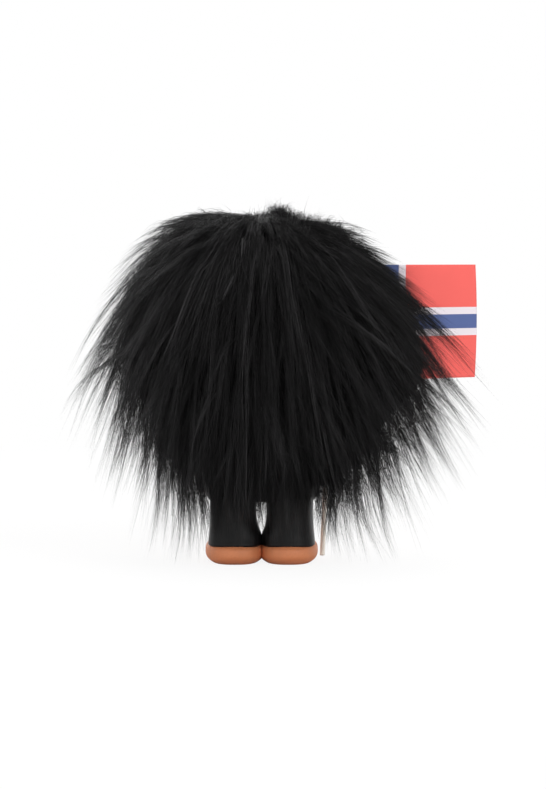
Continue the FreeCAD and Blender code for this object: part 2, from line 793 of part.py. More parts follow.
shell_left = mantle_shell("shell_left", 2 * QUARTER_TURN)
shell_right = mantle_shell("shell_right", 0)
for name, shell, start, end in (
    ("mane_left", shell_left, -SIDE_END_DEGREES, -BACK_SPLIT_DEGREES),
    ("mane_back", shell_right, -BACK_SPLIT_DEGREES, BACK_SPLIT_DEGREES),
    ("mane_right", shell_right, BACK_SPLIT_DEGREES, SIDE_END_DEGREES),
):
    near = [
        row for row in MANTLE_NOTCH_SHARES
        if start - NOTCH_REACH_DEGREES < row[0] * QUARTER_TURN < end + NOTCH_REACH_DEGREES
    ]
    near.sort(key=lambda row: abs(row[0]))
    panel = common(name + "_panel", shell, sector(name + "_bearings", start, end))
    node(name, cut(name + "_notched", panel, *notches(
        name + "_notch", near, 0, NOTCH_SLOPE_SHARE, pile_core, pile_reach,
    )))

under_hem_share = LEVEL_SHARES[-3]
node("under_pile", cut(
    "under_notched", common(
        "under_behind", envelope("under_outer", "S.mantle_thickness + S.soft_gap"),
        behind("under_room", "S.pelt_front_y", f"S.pile_top_z * {under_hem_share}", "S.pile_top_z"),
    ),
    pelt_forms("under_well", "2 * S.soft_gap + S.pelt_thickness"),
    *notches(
        "under_notch", UNDER_NOTCH_SHARES, size("pile_top_z") * under_hem_share,
        2 * NOTCH_SLOPE_SHARE, pile_core, pile_reach,
    ),
))

crown_dome = loft("crown_dome", [
    oval(
        f"crown_{number}", f"S.mantle_half_width * {share}", f"S.mantle_half_depth * {share}",
        "S.pile_x", "S.pile_y", f"S.pile_top_z + S.soft_gap + S.crown_rise * {level}",
    )
    for number, (level, share) in enumerate(zip(CROWN_LEVEL_SHARES, CROWN_WIDTH_SHARES), start=1)
])
node("crown_pile", cut(
    "crown_seated", common(
        "crown_behind", crown_dome, behind("crown_room", "S.pile_front_y", "S.pile_top_z"),
    ),
    pelt_forms("crown_seat", "2 * S.soft_gap + S.pelt_thickness"),
))

fringe_shell = cut(
    "fringe_shell",
    egg(
        "fringe_outer", "S.head_half_width + S.fringe_depth + 2 * S.soft_gap + S.pelt_thickness",
        "S.head_half_depth + S.fringe_depth + 2 * S.soft_gap + S.pelt_thickness",
        "S.head_half_height + S.fringe_depth + 2 * S.soft_gap + S.pelt_thickness",
        "0", "S.head_y", "S.head_z",
    ),
    pelt_forms("fringe_seat", "2 * S.soft_gap + S.pelt_thickness"),
    brow_form("fringe_brow_seat", "S.soft_gap"),
    *notches(
        "fringe_notch", [(2 + share / 3, top) for share, top in FRINGE_NOTCH_SHARES],
        size("fringe_hem_z"), FRINGE_SLOPE_SHARE, 0, pile_reach,
    ),
)
fringe_room = box(
    "fringe_room", "2 * S.fringe_half_width", "2 * S.head_half_depth",
    "S.pile_top_z + S.crown_rise - S.fringe_hem_z", "-S.fringe_half_width",
    "S.pile_front_y - S.soft_gap - 2 * S.head_half_depth", "S.fringe_hem_z",
)
node("fringe_pile", common("fringe_trimmed", fringe_shell, fringe_room))

# Stick and flag

stick_body = doc.addObject("PartDesign::Body", "stick_body")
stick_plane = next(f for f in stick_body.Origin.OriginFeatures if f.Role == "XY_Plane")
stick_sketch = stick_body.newObject("Sketcher::SketchObject", "stick_round")
stick_sketch.AttachmentSupport = [(stick_plane, "")]
stick_sketch.MapMode = "FlatFace"
stick_sketch.addGeometry(Part.Circle(Vector(0, 0, 0), Vector(0, 0, 1), size("stick_radius")), False)
stick_sketch.addConstraint(Sketcher.Constraint("Coincident", 0, 3, -1, 1))
radius_index = stick_sketch.addConstraint(Sketcher.Constraint("Radius", 0, size("stick_radius")))
stick_sketch.setExpression(f"Constraints[{radius_index}]", "Sizes.stick_radius")
stick_pad = stick_body.newObject("PartDesign::Pad", "stick_pad")
stick_pad.Profile = stick_sketch
bind(stick_pad, Length="S.stick_length")
doc.recompute()
stick_ends = stick_body.newObject("PartDesign::Chamfer", "stick_ends")
stick_ends.Base = (stick_pad, ["Face2", "Face3"])
bind(stick_ends, Size="S.stick_chamfer")
stick_body.Tip = stick_ends
stick_body.Placement = stick_frame()
node("flag_stick", stick_body)


def flag_plan_edges(side):
    """The flag's plan at one face: straight from the stick, one bend, and straight to the fly."""
    bend = math.radians(FLAG_BEND_DEGREES)
    straight = size("flag_straight")
    radius = size("flag_bend_radius")
    offset = side * size("flag_thickness") / 2
    tail = size("flag_length") - straight - radius * bend
    centre = Vector(-straight, -radius, 0)

    def on_bend(angle):
        return centre + Vector(-math.sin(angle), math.cos(angle), 0) * (radius + offset)

    direction = Vector(-math.cos(bend), -math.sin(bend), 0)
    hoist = Vector(-size("stick_radius") - size("slide_gap") - size("sleeve_wall") / 2, offset, 0)
    end = on_bend(bend) + direction * tail
    return hoist, end, [
        Part.LineSegment(hoist, on_bend(0)).toShape(),
        Part.Arc(on_bend(0), on_bend(bend / 2), on_bend(bend)).toShape(),
        Part.LineSegment(on_bend(bend), end).toShape(),
    ]


back_hoist, back_end, back_edges = flag_plan_edges(1)
front_hoist, front_end, front_edges = flag_plan_edges(-1)
fly_edge = Part.LineSegment(back_end, front_end).toShape()
hoist_edge = Part.LineSegment(front_hoist, back_hoist).toShape()
flag_outline = Part.Wire(Part.__sortEdges__(back_edges + [fly_edge] + front_edges + [hoist_edge]))
flag_cloth = feature("flag_cloth", Part.Face(flag_outline).extrude(Vector(0, 0, size("flag_height"))))
sleeve = cylinder("sleeve", "S.stick_radius + S.slide_gap + S.sleeve_wall", "S.flag_height")
sleeve_bore = cylinder("sleeve_bore", "S.stick_radius + S.slide_gap", "3 * S.flag_height", z="-S.flag_height")
flag = cut("flag_bored", fuse("flag_block", flag_cloth, sleeve), sleeve_bore)
flag.Placement = stick_frame().multiply(Placement(Vector(0, 0, size("flag_bottom")), Rotation()))
node("flag", flag)

# Checking and writing

doc.recompute()
faulty = [obj.Name for obj in doc.Objects if "Invalid" in obj.State or "Error" in obj.State]
for obj in outlets:
    if obj.Shape.isNull() or not obj.Shape.isValid():
        faulty.append(obj.Label)
if faulty:
    raise RuntimeError("these did not build: " + ", ".join(faulty))

os.makedirs("parts", exist_ok=True)
for obj in outlets:
    obj.Shape.exportStep(f"parts/{obj.Label}.step")
    print(f"{obj.Label}: {len(obj.Shape.Solids)} solid(s), {obj.Shape.Volume / 1000:.2f} ml")
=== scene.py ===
"""Looks of a standing folk troll with a long black fur mane and a small flag on a stick.

Metres, +Z up, origin on the floor between the heels. The troll faces -Y, and the main camera stands
behind it, so the picture's right is -X. Each sub-assembly is a class that builds its own meshes and
dresses them; surfaces are worked out as whole numpy grids. Bearings are in degrees round the mane
from the back (+Y), positive towards -X.
"""

import logging
import math
from dataclasses import dataclass, field
from enum import Enum
from typing import Optional, Sequence

import bmesh
import bpy
import numpy as np
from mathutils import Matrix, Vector
from numpy.typing import NDArray


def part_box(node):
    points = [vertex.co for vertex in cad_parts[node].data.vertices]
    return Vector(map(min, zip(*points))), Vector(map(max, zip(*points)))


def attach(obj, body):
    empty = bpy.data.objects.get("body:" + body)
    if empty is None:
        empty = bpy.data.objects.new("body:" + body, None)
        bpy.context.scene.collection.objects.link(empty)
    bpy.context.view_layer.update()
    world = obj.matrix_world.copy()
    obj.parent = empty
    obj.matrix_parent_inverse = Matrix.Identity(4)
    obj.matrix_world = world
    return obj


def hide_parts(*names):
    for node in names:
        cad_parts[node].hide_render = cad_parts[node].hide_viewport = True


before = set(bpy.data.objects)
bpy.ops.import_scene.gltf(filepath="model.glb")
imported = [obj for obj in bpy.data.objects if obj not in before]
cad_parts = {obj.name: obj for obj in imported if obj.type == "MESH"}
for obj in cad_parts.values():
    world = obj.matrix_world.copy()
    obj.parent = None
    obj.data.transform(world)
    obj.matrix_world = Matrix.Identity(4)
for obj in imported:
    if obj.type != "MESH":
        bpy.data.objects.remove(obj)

Array = NDArray[np.float64]
Faces = NDArray[np.int64]
Colour = tuple[float, float, float]
Triple = tuple[float, float, float]
Pair = tuple[float, float]
log = logging.getLogger("troll")

FIGURE = "figure"
BANNER = "banner"
MM = 0.001
ROUND = 2.0 * math.pi
UP = np.array([0.0, 0.0, 1.0])
LEVEL = np.array([1.0, 1.0, 0.0])
STRAND_MAP = "strand"
BALL_MAP = "ball"
CLOTH_MAP = "cloth"
WHITE = (1.0, 1.0, 1.0)


class Slot(Enum):
    """The record's material slots for the scene's own pieces; no piece here is given one."""

    SKIN = "skin"
    TROUSER = "trouser"
    EYE = "eye"
    PELT = "pelt_cloth"
    PILE = "pile"
    FLAG = "flag_cloth"


# Shader maths


class Wire:
    """A socket in a node tree, with the arithmetic that the finishes use."""

    def __init__(self, work: "NodeWork", socket: bpy.types.NodeSocket) -> None:
        """Keeps the tree's helper and the socket."""
        self.work = work
        self.socket = socket

    def maths(self, operation: str, first: "Wire | float", second: "Wire | float") -> "Wire":
        """Adds one Math node for the two values."""
        return self.work.node("ShaderNodeMath", {"operation": operation}, {0: first, 1: second})

    def __add__(self, other: "Wire | float") -> "Wire":
        """Sum."""
        return self.maths("ADD", self, other)

    def __radd__(self, other: float) -> "Wire":
        """Sum with a number on the left."""
        return self.maths("ADD", other, self)

    def __sub__(self, other: "Wire | float") -> "Wire":
        """Difference."""
        return self.maths("SUBTRACT", self, other)

    def __rsub__(self, other: float) -> "Wire":
        """Difference from a number on the left."""
        return self.maths("SUBTRACT", other, self)

    def __mul__(self, other: "Wire | float") -> "Wire":
        """Product."""
        return self.maths("MULTIPLY", self, other)

    def __rmul__(self, other: float) -> "Wire":
        """Product with a number on the left."""
        return self.maths("MULTIPLY", other, self)

    def __lt__(self, other: "Wire | float") -> "Wire":
        """1 where this is less, else 0."""
        return self.maths("LESS_THAN", self, other)

    def or_more(self, other: "Wire | float") -> "Wire":
        """The greater of the two."""
        return self.maths("MAXIMUM", self, other)

    def magnitude(self) -> "Wire":
        """The value without its sign."""
        return self.maths("ABSOLUTE", self, 0.0)

    def sine(self) -> "Wire":
        """The sine of the value in radians."""
        return self.maths("SINE", self, 0.0)

    def clamped(self) -> "Wire":
        """The value held between 0 and 1."""
        return self.work.node("ShaderNodeClamp", {}, {0: self})


@dataclass(frozen=True)
class Noise:
    """A fractal noise: how fine it is, how many octaves it has and how strong the finest are."""

    scale: float
    detail: float = 4.0
    roughness: float = 0.5


@dataclass(frozen=True)
class Relief:
    """How a height makes a bump: its strength, and its depth in metres."""

    strength: float
    depth: float


class NodeWork:
    """Makes the nodes of one material or world."""

    def __init__(self, owner: "bpy.types.Material | bpy.types.World") -> None:
        """Starts with an empty tree.

        Args:
            owner: What the nodes belong to.
        """
        self.owner = owner
        owner.use_nodes = True
        self.tree = owner.node_tree
        self.tree.nodes.clear()

    def node(
        self, kind: str, settings: dict[str, object], inputs: dict[object, object],
        output: object = 0,
    ) -> Wire:
        """Adds a node.

        Args:
            kind: The node's type.
            settings: Its properties, set before its sockets; a ramp's stops come under "stops".
            inputs: Values or wires, by socket name or number.
            output: The output that is handed back, by name or number.

        Returns:
            The output as a wire.
        """
        made = self.tree.nodes.new(kind)
        for key, value in settings.items():
            if key == "stops":
                self.set_stops(made.color_ramp, value)
            else:
                setattr(made, key, value)
        for key, value in inputs.items():
            if isinstance(value, Wire):
                self.tree.links.new(value.socket, made.inputs[key])
            elif isinstance(value, tuple) and made.inputs[key].type == "RGBA":
                made.inputs[key].default_value = (*value, 1.0)
            else:
                made.inputs[key].default_value = value
        return Wire(self, made.outputs[output])

    @staticmethod
    def set_stops(ramp: bpy.types.ColorRamp, stops: Sequence[tuple[float, Colour]]) -> None:
        """Sets a ramp's stops.

        Args:
            ramp: The ramp.
            stops: Positions from 0 to 1, rising, each with its colour.
        """
        while len(ramp.elements) < len(stops):
            ramp.elements.new(1.0)
        for element, (position, colour) in zip(ramp.elements, stops):
            element.position = position
            element.color = (*colour, 1.0)

    def place(self) -> Wire:
        """Object coordinates."""
        return self.node("ShaderNodeTexCoord", {}, {}, "Object")

    def stretched(self, scale: Triple) -> Wire:
        """Object coordinates times a scale along each axis."""
        return self.node("ShaderNodeMapping", {}, {"Vector": self.place(), "Scale": scale})

    def map_axis(self, name: str, axis: str) -> Wire:
        """One axis of a piece's own map."""
        spot = self.node("ShaderNodeUVMap", {"uv_map": name}, {})
        return self.node("ShaderNodeSeparateXYZ", {}, {"Vector": spot}, axis)

    def ray(self, kind: str) -> Wire:
        """1 for rays of a kind, else 0."""
        return self.node("ShaderNodeLightPath", {}, {}, kind)

    def noise(self, noise: Noise, place: Optional[Wire] = None) -> Wire:
        """Fractal noise from 0 to 1.

        Args:
            noise: How fine and how rough it is.
            place: Where it is read: on object coordinates, unless this is given.

        Returns:
            Its value.
        """
        sockets = {
            "Vector": place or self.place(), "Scale": noise.scale, "Detail": noise.detail,
            "Roughness": noise.roughness,
        }
        return self.node("ShaderNodeTexNoise", {}, sockets, "Fac")

    def mix(self, share: "Wire | float", first: "Wire | Colour", second: "Wire | Colour") -> Wire:
        """A colour between two, by a share."""
        return self.node("ShaderNodeMix", {"data_type": "RGBA"}, {0: share, 6: first, 7: second}, 2)

    def ramp(self, value: Wire, stops: Sequence[tuple[float, Colour]]) -> Wire:
        """A colour ramp over a value."""
        return self.node("ShaderNodeValToRGB", {"stops": stops}, {0: value})

    def bump(self, height: Wire, relief: Relief) -> Wire:
        """A normal that follows a height."""
        sockets = {"Height": height, "Strength": relief.strength, "Distance": relief.depth}
        return self.node("ShaderNodeBump", {}, sockets)

    def surface(self, **sockets: object) -> bpy.types.Material:
        """Ends a material in a Principled shader.

        Args:
            sockets: Values or wires by the socket's name, with _ for a space.

        Returns:
            The material.
        """
        named = {name.replace("_", " "): value for name, value in sockets.items()}
        return self.finished(self.node("ShaderNodeBsdfPrincipled", {}, named))

    def finished(
        self, shader: Wire, output: str = "ShaderNodeOutputMaterial",
    ) -> "bpy.types.Material | bpy.types.World":
        """Joins a shader to the tree's output.

        Args:
            shader: The shader.
            output: The output node's type.

        Returns:
            The tree's owner.
        """
        end = self.tree.nodes.new(output)
        self.tree.links.new(shader.socket, end.inputs["Surface"])
        return self.owner


def new_finish(name: str) -> NodeWork:
    """The nodes of a new material."""
    return NodeWork(bpy.data.materials.new(name))


def shade(colour: Colour, share: float) -> Colour:
    """A colour times a share."""
    return tuple(part * share for part in colour)


# Finishes


@dataclass(frozen=True)
class FurFinish:
    """Long sheepskin hair dyed black: dark strands, and pale grey strands that are partly greyer
    hair and partly painted highlights, with a soft sheen.
    """

    name: str = "black_fur"
    dark: Colour = (0.0013, 0.0012, 0.0014)
    # Pale grey of greyer strands and of painted strand highlights.
    pale: Colour = (0.060, 0.058, 0.060)
    cloud: Noise = Noise(160.0, 3.0, 0.6)
    cloud_floor: float = 0.6
    roughness: float = 0.52
    pale_gloss: float = 0.16
    specular: float = 0.15

    def material(self) -> bpy.types.Material:
        """Makes it: the strand map's U is a strand's tone, which sets how much painted highlight a
        strand gets, and soft clouds grey whole areas with more of it.

        Share of the pale colour, partly a painted highlight, = tone squared times the sum of the
        cloud and a floor.

        Returns:
            The material.
        """
        work = new_finish(self.name)
        tone = work.map_axis(STRAND_MAP, "X")
        # Painted highlight: pale grey on strands by tone and cloud, over the dark dyed colour.
        share = (tone * tone * (work.noise(self.cloud) + self.cloud_floor)).clamped()
        return work.surface(
            Base_Color=work.mix(share, self.dark, self.pale),
            Roughness=self.roughness - tone * self.pale_gloss,
            Specular_IOR_Level=self.specular,
        )


@dataclass(frozen=True)
class UndercoatFinish:
    """The dense short wool and hide under the long hair, which is seen only as depth."""

    name: str = "black_undercoat"
    dark: Colour = (0.0018, 0.0017, 0.0018)
    pale: Colour = (0.005, 0.0048, 0.005)
    grain: Noise = Noise(900.0, 4.0, 0.7)
    relief: Relief = Relief(0.8, 0.6 * MM)
    roughness: float = 0.95
    specular: float = 0.05

    def material(self) -> bpy.types.Material:
        """Makes it: near black and matt, with the fine grain of short wool.

        Returns:
            The material.
        """
        work = new_finish(self.name)
        grain = work.noise(self.grain)
        return work.surface(
            Base_Color=work.mix(grain, self.dark, self.pale),
            Roughness=self.roughness,
            Specular_IOR_Level=self.specular,
            Normal=work.bump(grain, self.relief),
        )


@dataclass(frozen=True)
class SatinFinish:
    """Smooth black trousers, cast in one soft satin skin."""

    name: str = "satin_black"
    base: Colour = (0.0020, 0.0019, 0.0021)
    worn: Colour = (0.0040, 0.0038, 0.0041)
    patches: Noise = Noise(60.0, 3.0, 0.5)
    pebble: Noise = Noise(2200.0, 2.0, 0.5)
    relief: Relief = Relief(0.25, 0.05 * MM)
    roughness: float = 0.30
    worn_roughness: float = 0.14
    specular: float = 0.20

    def material(self) -> bpy.types.Material:
        """Makes it: a low gloss that varies over broad soft patches, with a very fine pebble.

        Returns:
            The material.
        """
        work = new_finish(self.name)
        patches = work.noise(self.patches)
        return work.surface(
            Base_Color=work.mix(patches, self.base, self.worn),
            Roughness=patches * self.worn_roughness + self.roughness,
            Specular_IOR_Level=self.specular,
            Normal=work.bump(work.noise(self.pebble), self.relief),
        )


@dataclass(frozen=True)
class SkinFinish:
    """Painted soft skin: terracotta in cloudy tones, with darker specks in a faint orange peel."""

    name: str = "terracotta_skin"
    base: Colour = (0.63, 0.205, 0.085)
    deep: Colour = (0.42, 0.125, 0.050)
    light: Colour = (0.71, 0.268, 0.118)
    cloud: Noise = Noise(85.0, 4.0, 0.55)
    speck: Noise = Noise(1500.0, 3.0, 0.6)
    speck_start: float = 0.52
    speck_gain: float = 1.6
    relief: Relief = Relief(0.3, 0.06 * MM)
    roughness: float = 0.44
    cloud_roughness: float = 0.12
    specular: float = 0.4

    def material(self) -> bpy.types.Material:
        """Makes it: cloudy paint over the orange peel, with a satin gloss.

        Returns:
            The material.
        """
        work = new_finish(self.name)
        cloud = work.noise(self.cloud)
        speck = work.noise(self.speck)
        depth = (speck - self.speck_start).clamped() * self.speck_gain
        return work.surface(
            Base_Color=work.mix(depth, work.mix(cloud, self.base, self.light), self.deep),
            Roughness=cloud * self.cloud_roughness + self.roughness,
            Specular_IOR_Level=self.specular,
            Normal=work.bump(speck, self.relief),
        )


@dataclass(frozen=True)
class StickFinish:
    """A pale planed softwood stick."""

    name: str = "pale_wood"
    early: Colour = (0.94, 0.90, 0.83)
    late: Colour = (0.86, 0.80, 0.71)
    grain: Noise = Noise(1800.0, 5.0, 0.6)
    stretch: Triple = (1.0, 1.0, 0.04)
    relief: Relief = Relief(0.35, 0.05 * MM)
    roughness: float = 0.62
    specular: float = 0.3

    def material(self) -> bpy.types.Material:
        """Makes it: fine grain drawn out along the stick.

        Returns:
            The material.
        """
        work = new_finish(self.name)
        grain = work.noise(self.grain, work.stretched(self.stretch))
        return work.surface(
            Base_Color=work.mix(grain, self.late, self.early),
            Roughness=self.roughness,
            Specular_IOR_Level=self.specular,
            Normal=work.bump(grain, self.relief),
        )


@dataclass(frozen=True)
class PinFinish:
    """Turned beech dowels, hidden inside."""

    name: str = "beech_dowel"
    early: Colour = (0.52, 0.36, 0.21)
    late: Colour = (0.40, 0.25, 0.13)
    flecks: Noise = Noise(1400.0, 3.0, 0.5)
    stretch: Triple = (1.0, 1.0, 0.1)
    roughness: float = 0.6

    def material(self) -> bpy.types.Material:
        """Makes it: short flecks along the dowel.

        Returns:
            The material.
        """
        work = new_finish(self.name)
        flecks = work.noise(self.flecks, work.stretched(self.stretch))
        colour = work.mix(flecks, self.late, self.early)
        return work.surface(Base_Color=colour, Roughness=self.roughness)


@dataclass(frozen=True)
class EyeFinish:
    """Glossy painted eyes: white, with a brown iris and a black pupil, on the eye's own map."""

    name: str = "painted_eye"
    white: Colour = (0.74, 0.70, 0.62)
    iris: Colour = (0.16, 0.065, 0.022)
    rim: Colour = (0.03, 0.012, 0.006)
    pupil: Colour = (0.004, 0.004, 0.004)
    pupil_share: float = 0.072
    pupil_edge: float = 0.006
    iris_share: float = 0.165
    rim_share: float = 0.02
    rim_edge: float = 0.008
    roughness: float = 0.08
    specular: float = 0.5
    coat: float = 0.6

    def material(self) -> bpy.types.Material:
        """Makes it: rings of colour by the angle from the line of sight, which the map's V holds.

        Returns:
            The material.
        """
        work = new_finish(self.name)
        rings = (
            (0.0, self.pupil),
            (self.pupil_share, self.pupil),
            (self.pupil_share + self.pupil_edge, self.iris),
            (self.iris_share - self.rim_share, self.iris),
            (self.iris_share, self.rim),
            (self.iris_share + self.rim_edge, self.white),
        )
        return work.surface(
            Base_Color=work.ramp(work.map_axis(BALL_MAP, "Y"), rings),
            Roughness=self.roughness,
            Specular_IOR_Level=self.specular,
            Coat_Weight=self.coat,
        )


@dataclass(frozen=True)
class FlagFinish:
    """Thin printed flag cloth: a blue cross edged white on red, on the cloth's own map."""

    name: str = "flag_print"
    red: Colour = (0.79, 0.130, 0.115)
    white: Colour = (0.71, 0.67, 0.71)
    blue: Colour = (0.070, 0.125, 0.290)
    across_units: float = 22.0
    down_units: float = 16.0
    upright_middle: float = 8.0
    level_middle: float = 8.0
    blue_half: float = 1.0
    white_half: float = 2.0
    print_tone: Noise = Noise(120.0, 3.0, 0.5)
    faded: float = 0.94
    threads: float = 60.0
    thread_share: float = 0.10
    thread_shade: float = 0.55
    relief: Relief = Relief(0.25, 0.04 * MM)
    roughness: float = 0.85
    specular: float = 0.15

    def material(self) -> bpy.types.Material:
        """Makes it: the cross over a plain weave.

        The cross comes from the distances to its two middle lines, in the flag's own units. The
        weave is the product of two sine waves, along warp and weft.

        Returns:
            The material.
        """
        work = new_finish(self.name)
        across = work.map_axis(CLOTH_MAP, "X") * self.across_units
        down = work.map_axis(CLOTH_MAP, "Y") * self.down_units
        from_upright = (across - self.upright_middle).magnitude()
        from_level = (down - self.level_middle).magnitude()
        blue = ((from_upright < self.blue_half) + (from_level < self.blue_half)).clamped()
        white = ((from_upright < self.white_half) + (from_level < self.white_half)).clamped()
        waves = (across * self.threads).sine() * (down * self.threads).sine()
        weave = (waves * 0.5 + 0.5).clamped()
        red = work.mix(work.noise(self.print_tone), self.red, shade(self.red, self.faded))
        colour = work.mix(blue, work.mix(white, red, self.white), self.blue)
        thread = shade(self.red, self.thread_shade)
        return work.surface(
            Base_Color=work.mix(weave * self.thread_share, colour, thread),
            Roughness=self.roughness,
            Specular_IOR_Level=self.specular,
            Normal=work.bump(weave, self.relief),
        )


@dataclass(frozen=True)
class MouthFinish:
    """The darker paint in the mouth line."""

    name: str = "mouth_paint"
    base: Colour = (0.12, 0.03, 0.016)
    deepest: float = 0.6
    cloud: Noise = Noise(400.0)
    roughness: float = 0.6

    def material(self) -> bpy.types.Material:
        """Makes it: dark red-brown paint in cloudy tones.

        Returns:
            The material.
        """
        work = new_finish(self.name)
        colour = work.mix(work.noise(self.cloud), self.base, shade(self.base, self.deepest))
        return work.surface(Base_Color=colour, Roughness=self.roughness)


# Meshes


def unit(vectors: Array) -> Array:
    """Vectors scaled to length one along the last axis."""
    return vectors / np.maximum(np.linalg.norm(vectors, axis=-1, keepdims=True), 1e-12)


def smooth(value: Array) -> Array:
    """The S-curve 3t^2 - 2t^3 of a value held between 0 and 1."""
    held = np.clip(value, 0.0, 1.0)
    return held * held * (3.0 - 2.0 * held)


def superellipse(turn: Array, squareness: float) -> tuple[Array, Array]:
    """Points of a superellipse with half widths of one.

    Each coordinate = the circle's own, with its sign kept, to the power of 2 over the squareness.

    Args:
        turn: Angles in radians.
        squareness: 2 for a circle, more for squarer corners.

    Returns:
        The coordinates across and along.
    """
    power = 2.0 / squareness
    across = np.sign(np.cos(turn)) * np.abs(np.cos(turn)) ** power
    along = np.sign(np.sin(turn)) * np.abs(np.sin(turn)) ** power
    return across, along


def curve_through(at: Array, knots: Sequence[float], values: Sequence[float]) -> Array:
    """A smooth curve through knots: cubic Hermite pieces with the knots' own mean slopes.

    Args:
        at: Where it is wanted.
        knots: Rising places of the known values.
        values: The known values.

    Returns:
        One value for each place.
    """
    spots, known = np.asarray(knots, dtype=float), np.asarray(values, dtype=float)
    slopes = np.gradient(known, spots)
    low = np.clip(np.searchsorted(spots, at) - 1, 0, len(spots) - 2)
    width = spots[low + 1] - spots[low]
    t = np.clip((at - spots[low]) / width, 0.0, 1.0)
    return (
        known[low] * (1 + 2 * t) * (1 - t) ** 2 + width * slopes[low] * t * (1 - t) ** 2
        + known[low + 1] * t ** 2 * (3 - 2 * t) - width * slopes[low + 1] * t ** 2 * (1 - t)
    )


def make_piece(
    name: str, points: Array, faces: list[list[int]], material: bpy.types.Material, body: str,
) -> bpy.types.Object:
    """Makes a closed mesh from points and faces, turned outward, and lets it ride on a body.

    Args:
        name: The piece's name.
        points: Its vertices, in metres, as a grid or one row each.
        faces: Vertex numbers of each face.
        material: Its finish.
        body: The CAD body that carries it.

    Returns:
        The object, linked into the scene.
    """
    mesh = bpy.data.meshes.new(name)
    mesh.from_pydata(points.reshape(-1, 3).tolist(), [], faces)
    piece = dress_mesh(name, mesh, material, body)
    work = bmesh.new()
    work.from_mesh(mesh)
    bmesh.ops.recalc_face_normals(work, faces=work.faces)
    work.to_mesh(mesh)
    work.free()
    return piece


def make_triangles(
    name: str, points: Array, triangles: Faces, material: bpy.types.Material, body: str,
) -> bpy.types.Object:
    """Makes a large mesh of outward triangles through foreach_set and lets it ride on a body.

    Args:
        name: The piece's name.
        points: Its vertices, in metres, one row each.
        triangles: Three vertex numbers for each face, outward by the right-hand rule.
        material: Its finish.
        body: The CAD body that carries it.

    Returns:
        The object, linked into the scene.
    """
    mesh = bpy.data.meshes.new(name)
    mesh.vertices.add(len(points))
    mesh.vertices.foreach_set("co", points.astype(np.float32).ravel())
    mesh.loops.add(triangles.size)
    mesh.loops.foreach_set("vertex_index", triangles.astype(np.int32).ravel())
    mesh.polygons.add(len(triangles))
    mesh.polygons.foreach_set("loop_start", np.arange(0, triangles.size, 3, dtype=np.int32))
    mesh.update(calc_edges=True)
    return dress_mesh(name, mesh, material, body)


def dress_mesh(
    name: str, mesh: bpy.types.Mesh, material: bpy.types.Material, body: str,
) -> bpy.types.Object:
    """Checks a mesh, shades it smooth, dresses it and lets its object ride on a body.

    Args:
        name: The piece's name.
        mesh: Its mesh.
        material: Its finish.
        body: The CAD body that carries it.

    Returns:
        The object, linked into the scene.
    """
    mesh.validate()
    mesh.polygons.foreach_set("use_smooth", np.full(len(mesh.polygons), True))
    mesh.materials.append(material)
    piece = bpy.data.objects.new(name, mesh)
    bpy.context.scene.collection.objects.link(piece)
    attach(piece, body)
    log.info("%s: %d faces", name, len(mesh.polygons))
    return piece


def dress_node(name: str, material: bpy.types.Material) -> None:
    """Gives a CAD node that stays its finish.

    Args:
        name: The node's name.
        material: Its finish.
    """
    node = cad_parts[name]
    node.data.materials.clear()
    node.data.materials.append(material)
    log.info("%s: dressed in %s", name, material.name)


def capped_rings(rows: int, columns: int) -> list[list[int]]:
    """Faces of a closed tube or ball.

    Args:
        rows: How many rings it has.
        columns: Points in each ring.

    Returns:
        Quads between the rings, then one face over the first ring and one over the last.
    """
    column = np.arange(columns)
    after = (column + 1) % columns
    ring = np.arange(rows - 1)[:, None] * columns
    corners = (ring + column, ring + after, ring + columns + after, ring + columns + column)
    last = column + (rows - 1) * columns
    quads = np.stack(corners, axis=-1).reshape(-1, 4).tolist()
    return quads + [column[::-1].tolist(), last.tolist()]


def slab_faces(rows: int, columns: int) -> list[list[int]]:
    """Faces of a closed slab whose two grids have their points one after the other.

    Args:
        rows: Rows of each grid.
        columns: Points in each row.

    Returns:
        Quads of both sides and of the rim between them.
    """
    grid = np.arange(rows * columns).reshape(rows, columns)
    low, beside = grid[:-1, :-1], grid[:-1, 1:]
    above, across = grid[1:, :-1], grid[1:, 1:]
    near = np.stack([low, beside, across, above], axis=-1)
    far = np.stack([low, above, across, beside], axis=-1) + grid.size
    edge = np.concatenate([grid[0, :-1], grid[:-1, -1], grid[-1, :0:-1], grid[:0:-1, 0]])
    after = np.roll(edge, -1)
    rim = np.stack([edge, edge + grid.size, after + grid.size, after], axis=-1)
    return np.concatenate([near.reshape(-1, 4), far.reshape(-1, 4), rim]).tolist()


def add_map(piece: bpy.types.Object, name: str, coordinates: Array) -> None:
    """Gives a piece a UV map.

    Args:
        piece: The piece.
        name: The map's name.
        coordinates: One pair for each vertex, as a grid or one row each.
    """
    mesh = piece.data
    layer = mesh.uv_layers.new(name=name)
    corners = np.zeros(len(mesh.loops), dtype=np.int32)
    mesh.loops.foreach_get("vertex_index", corners)
    pairs = coordinates.reshape(-1, 2)[corners]
    layer.data.foreach_set("uv", pairs.astype(np.float32).ravel())


# Fur


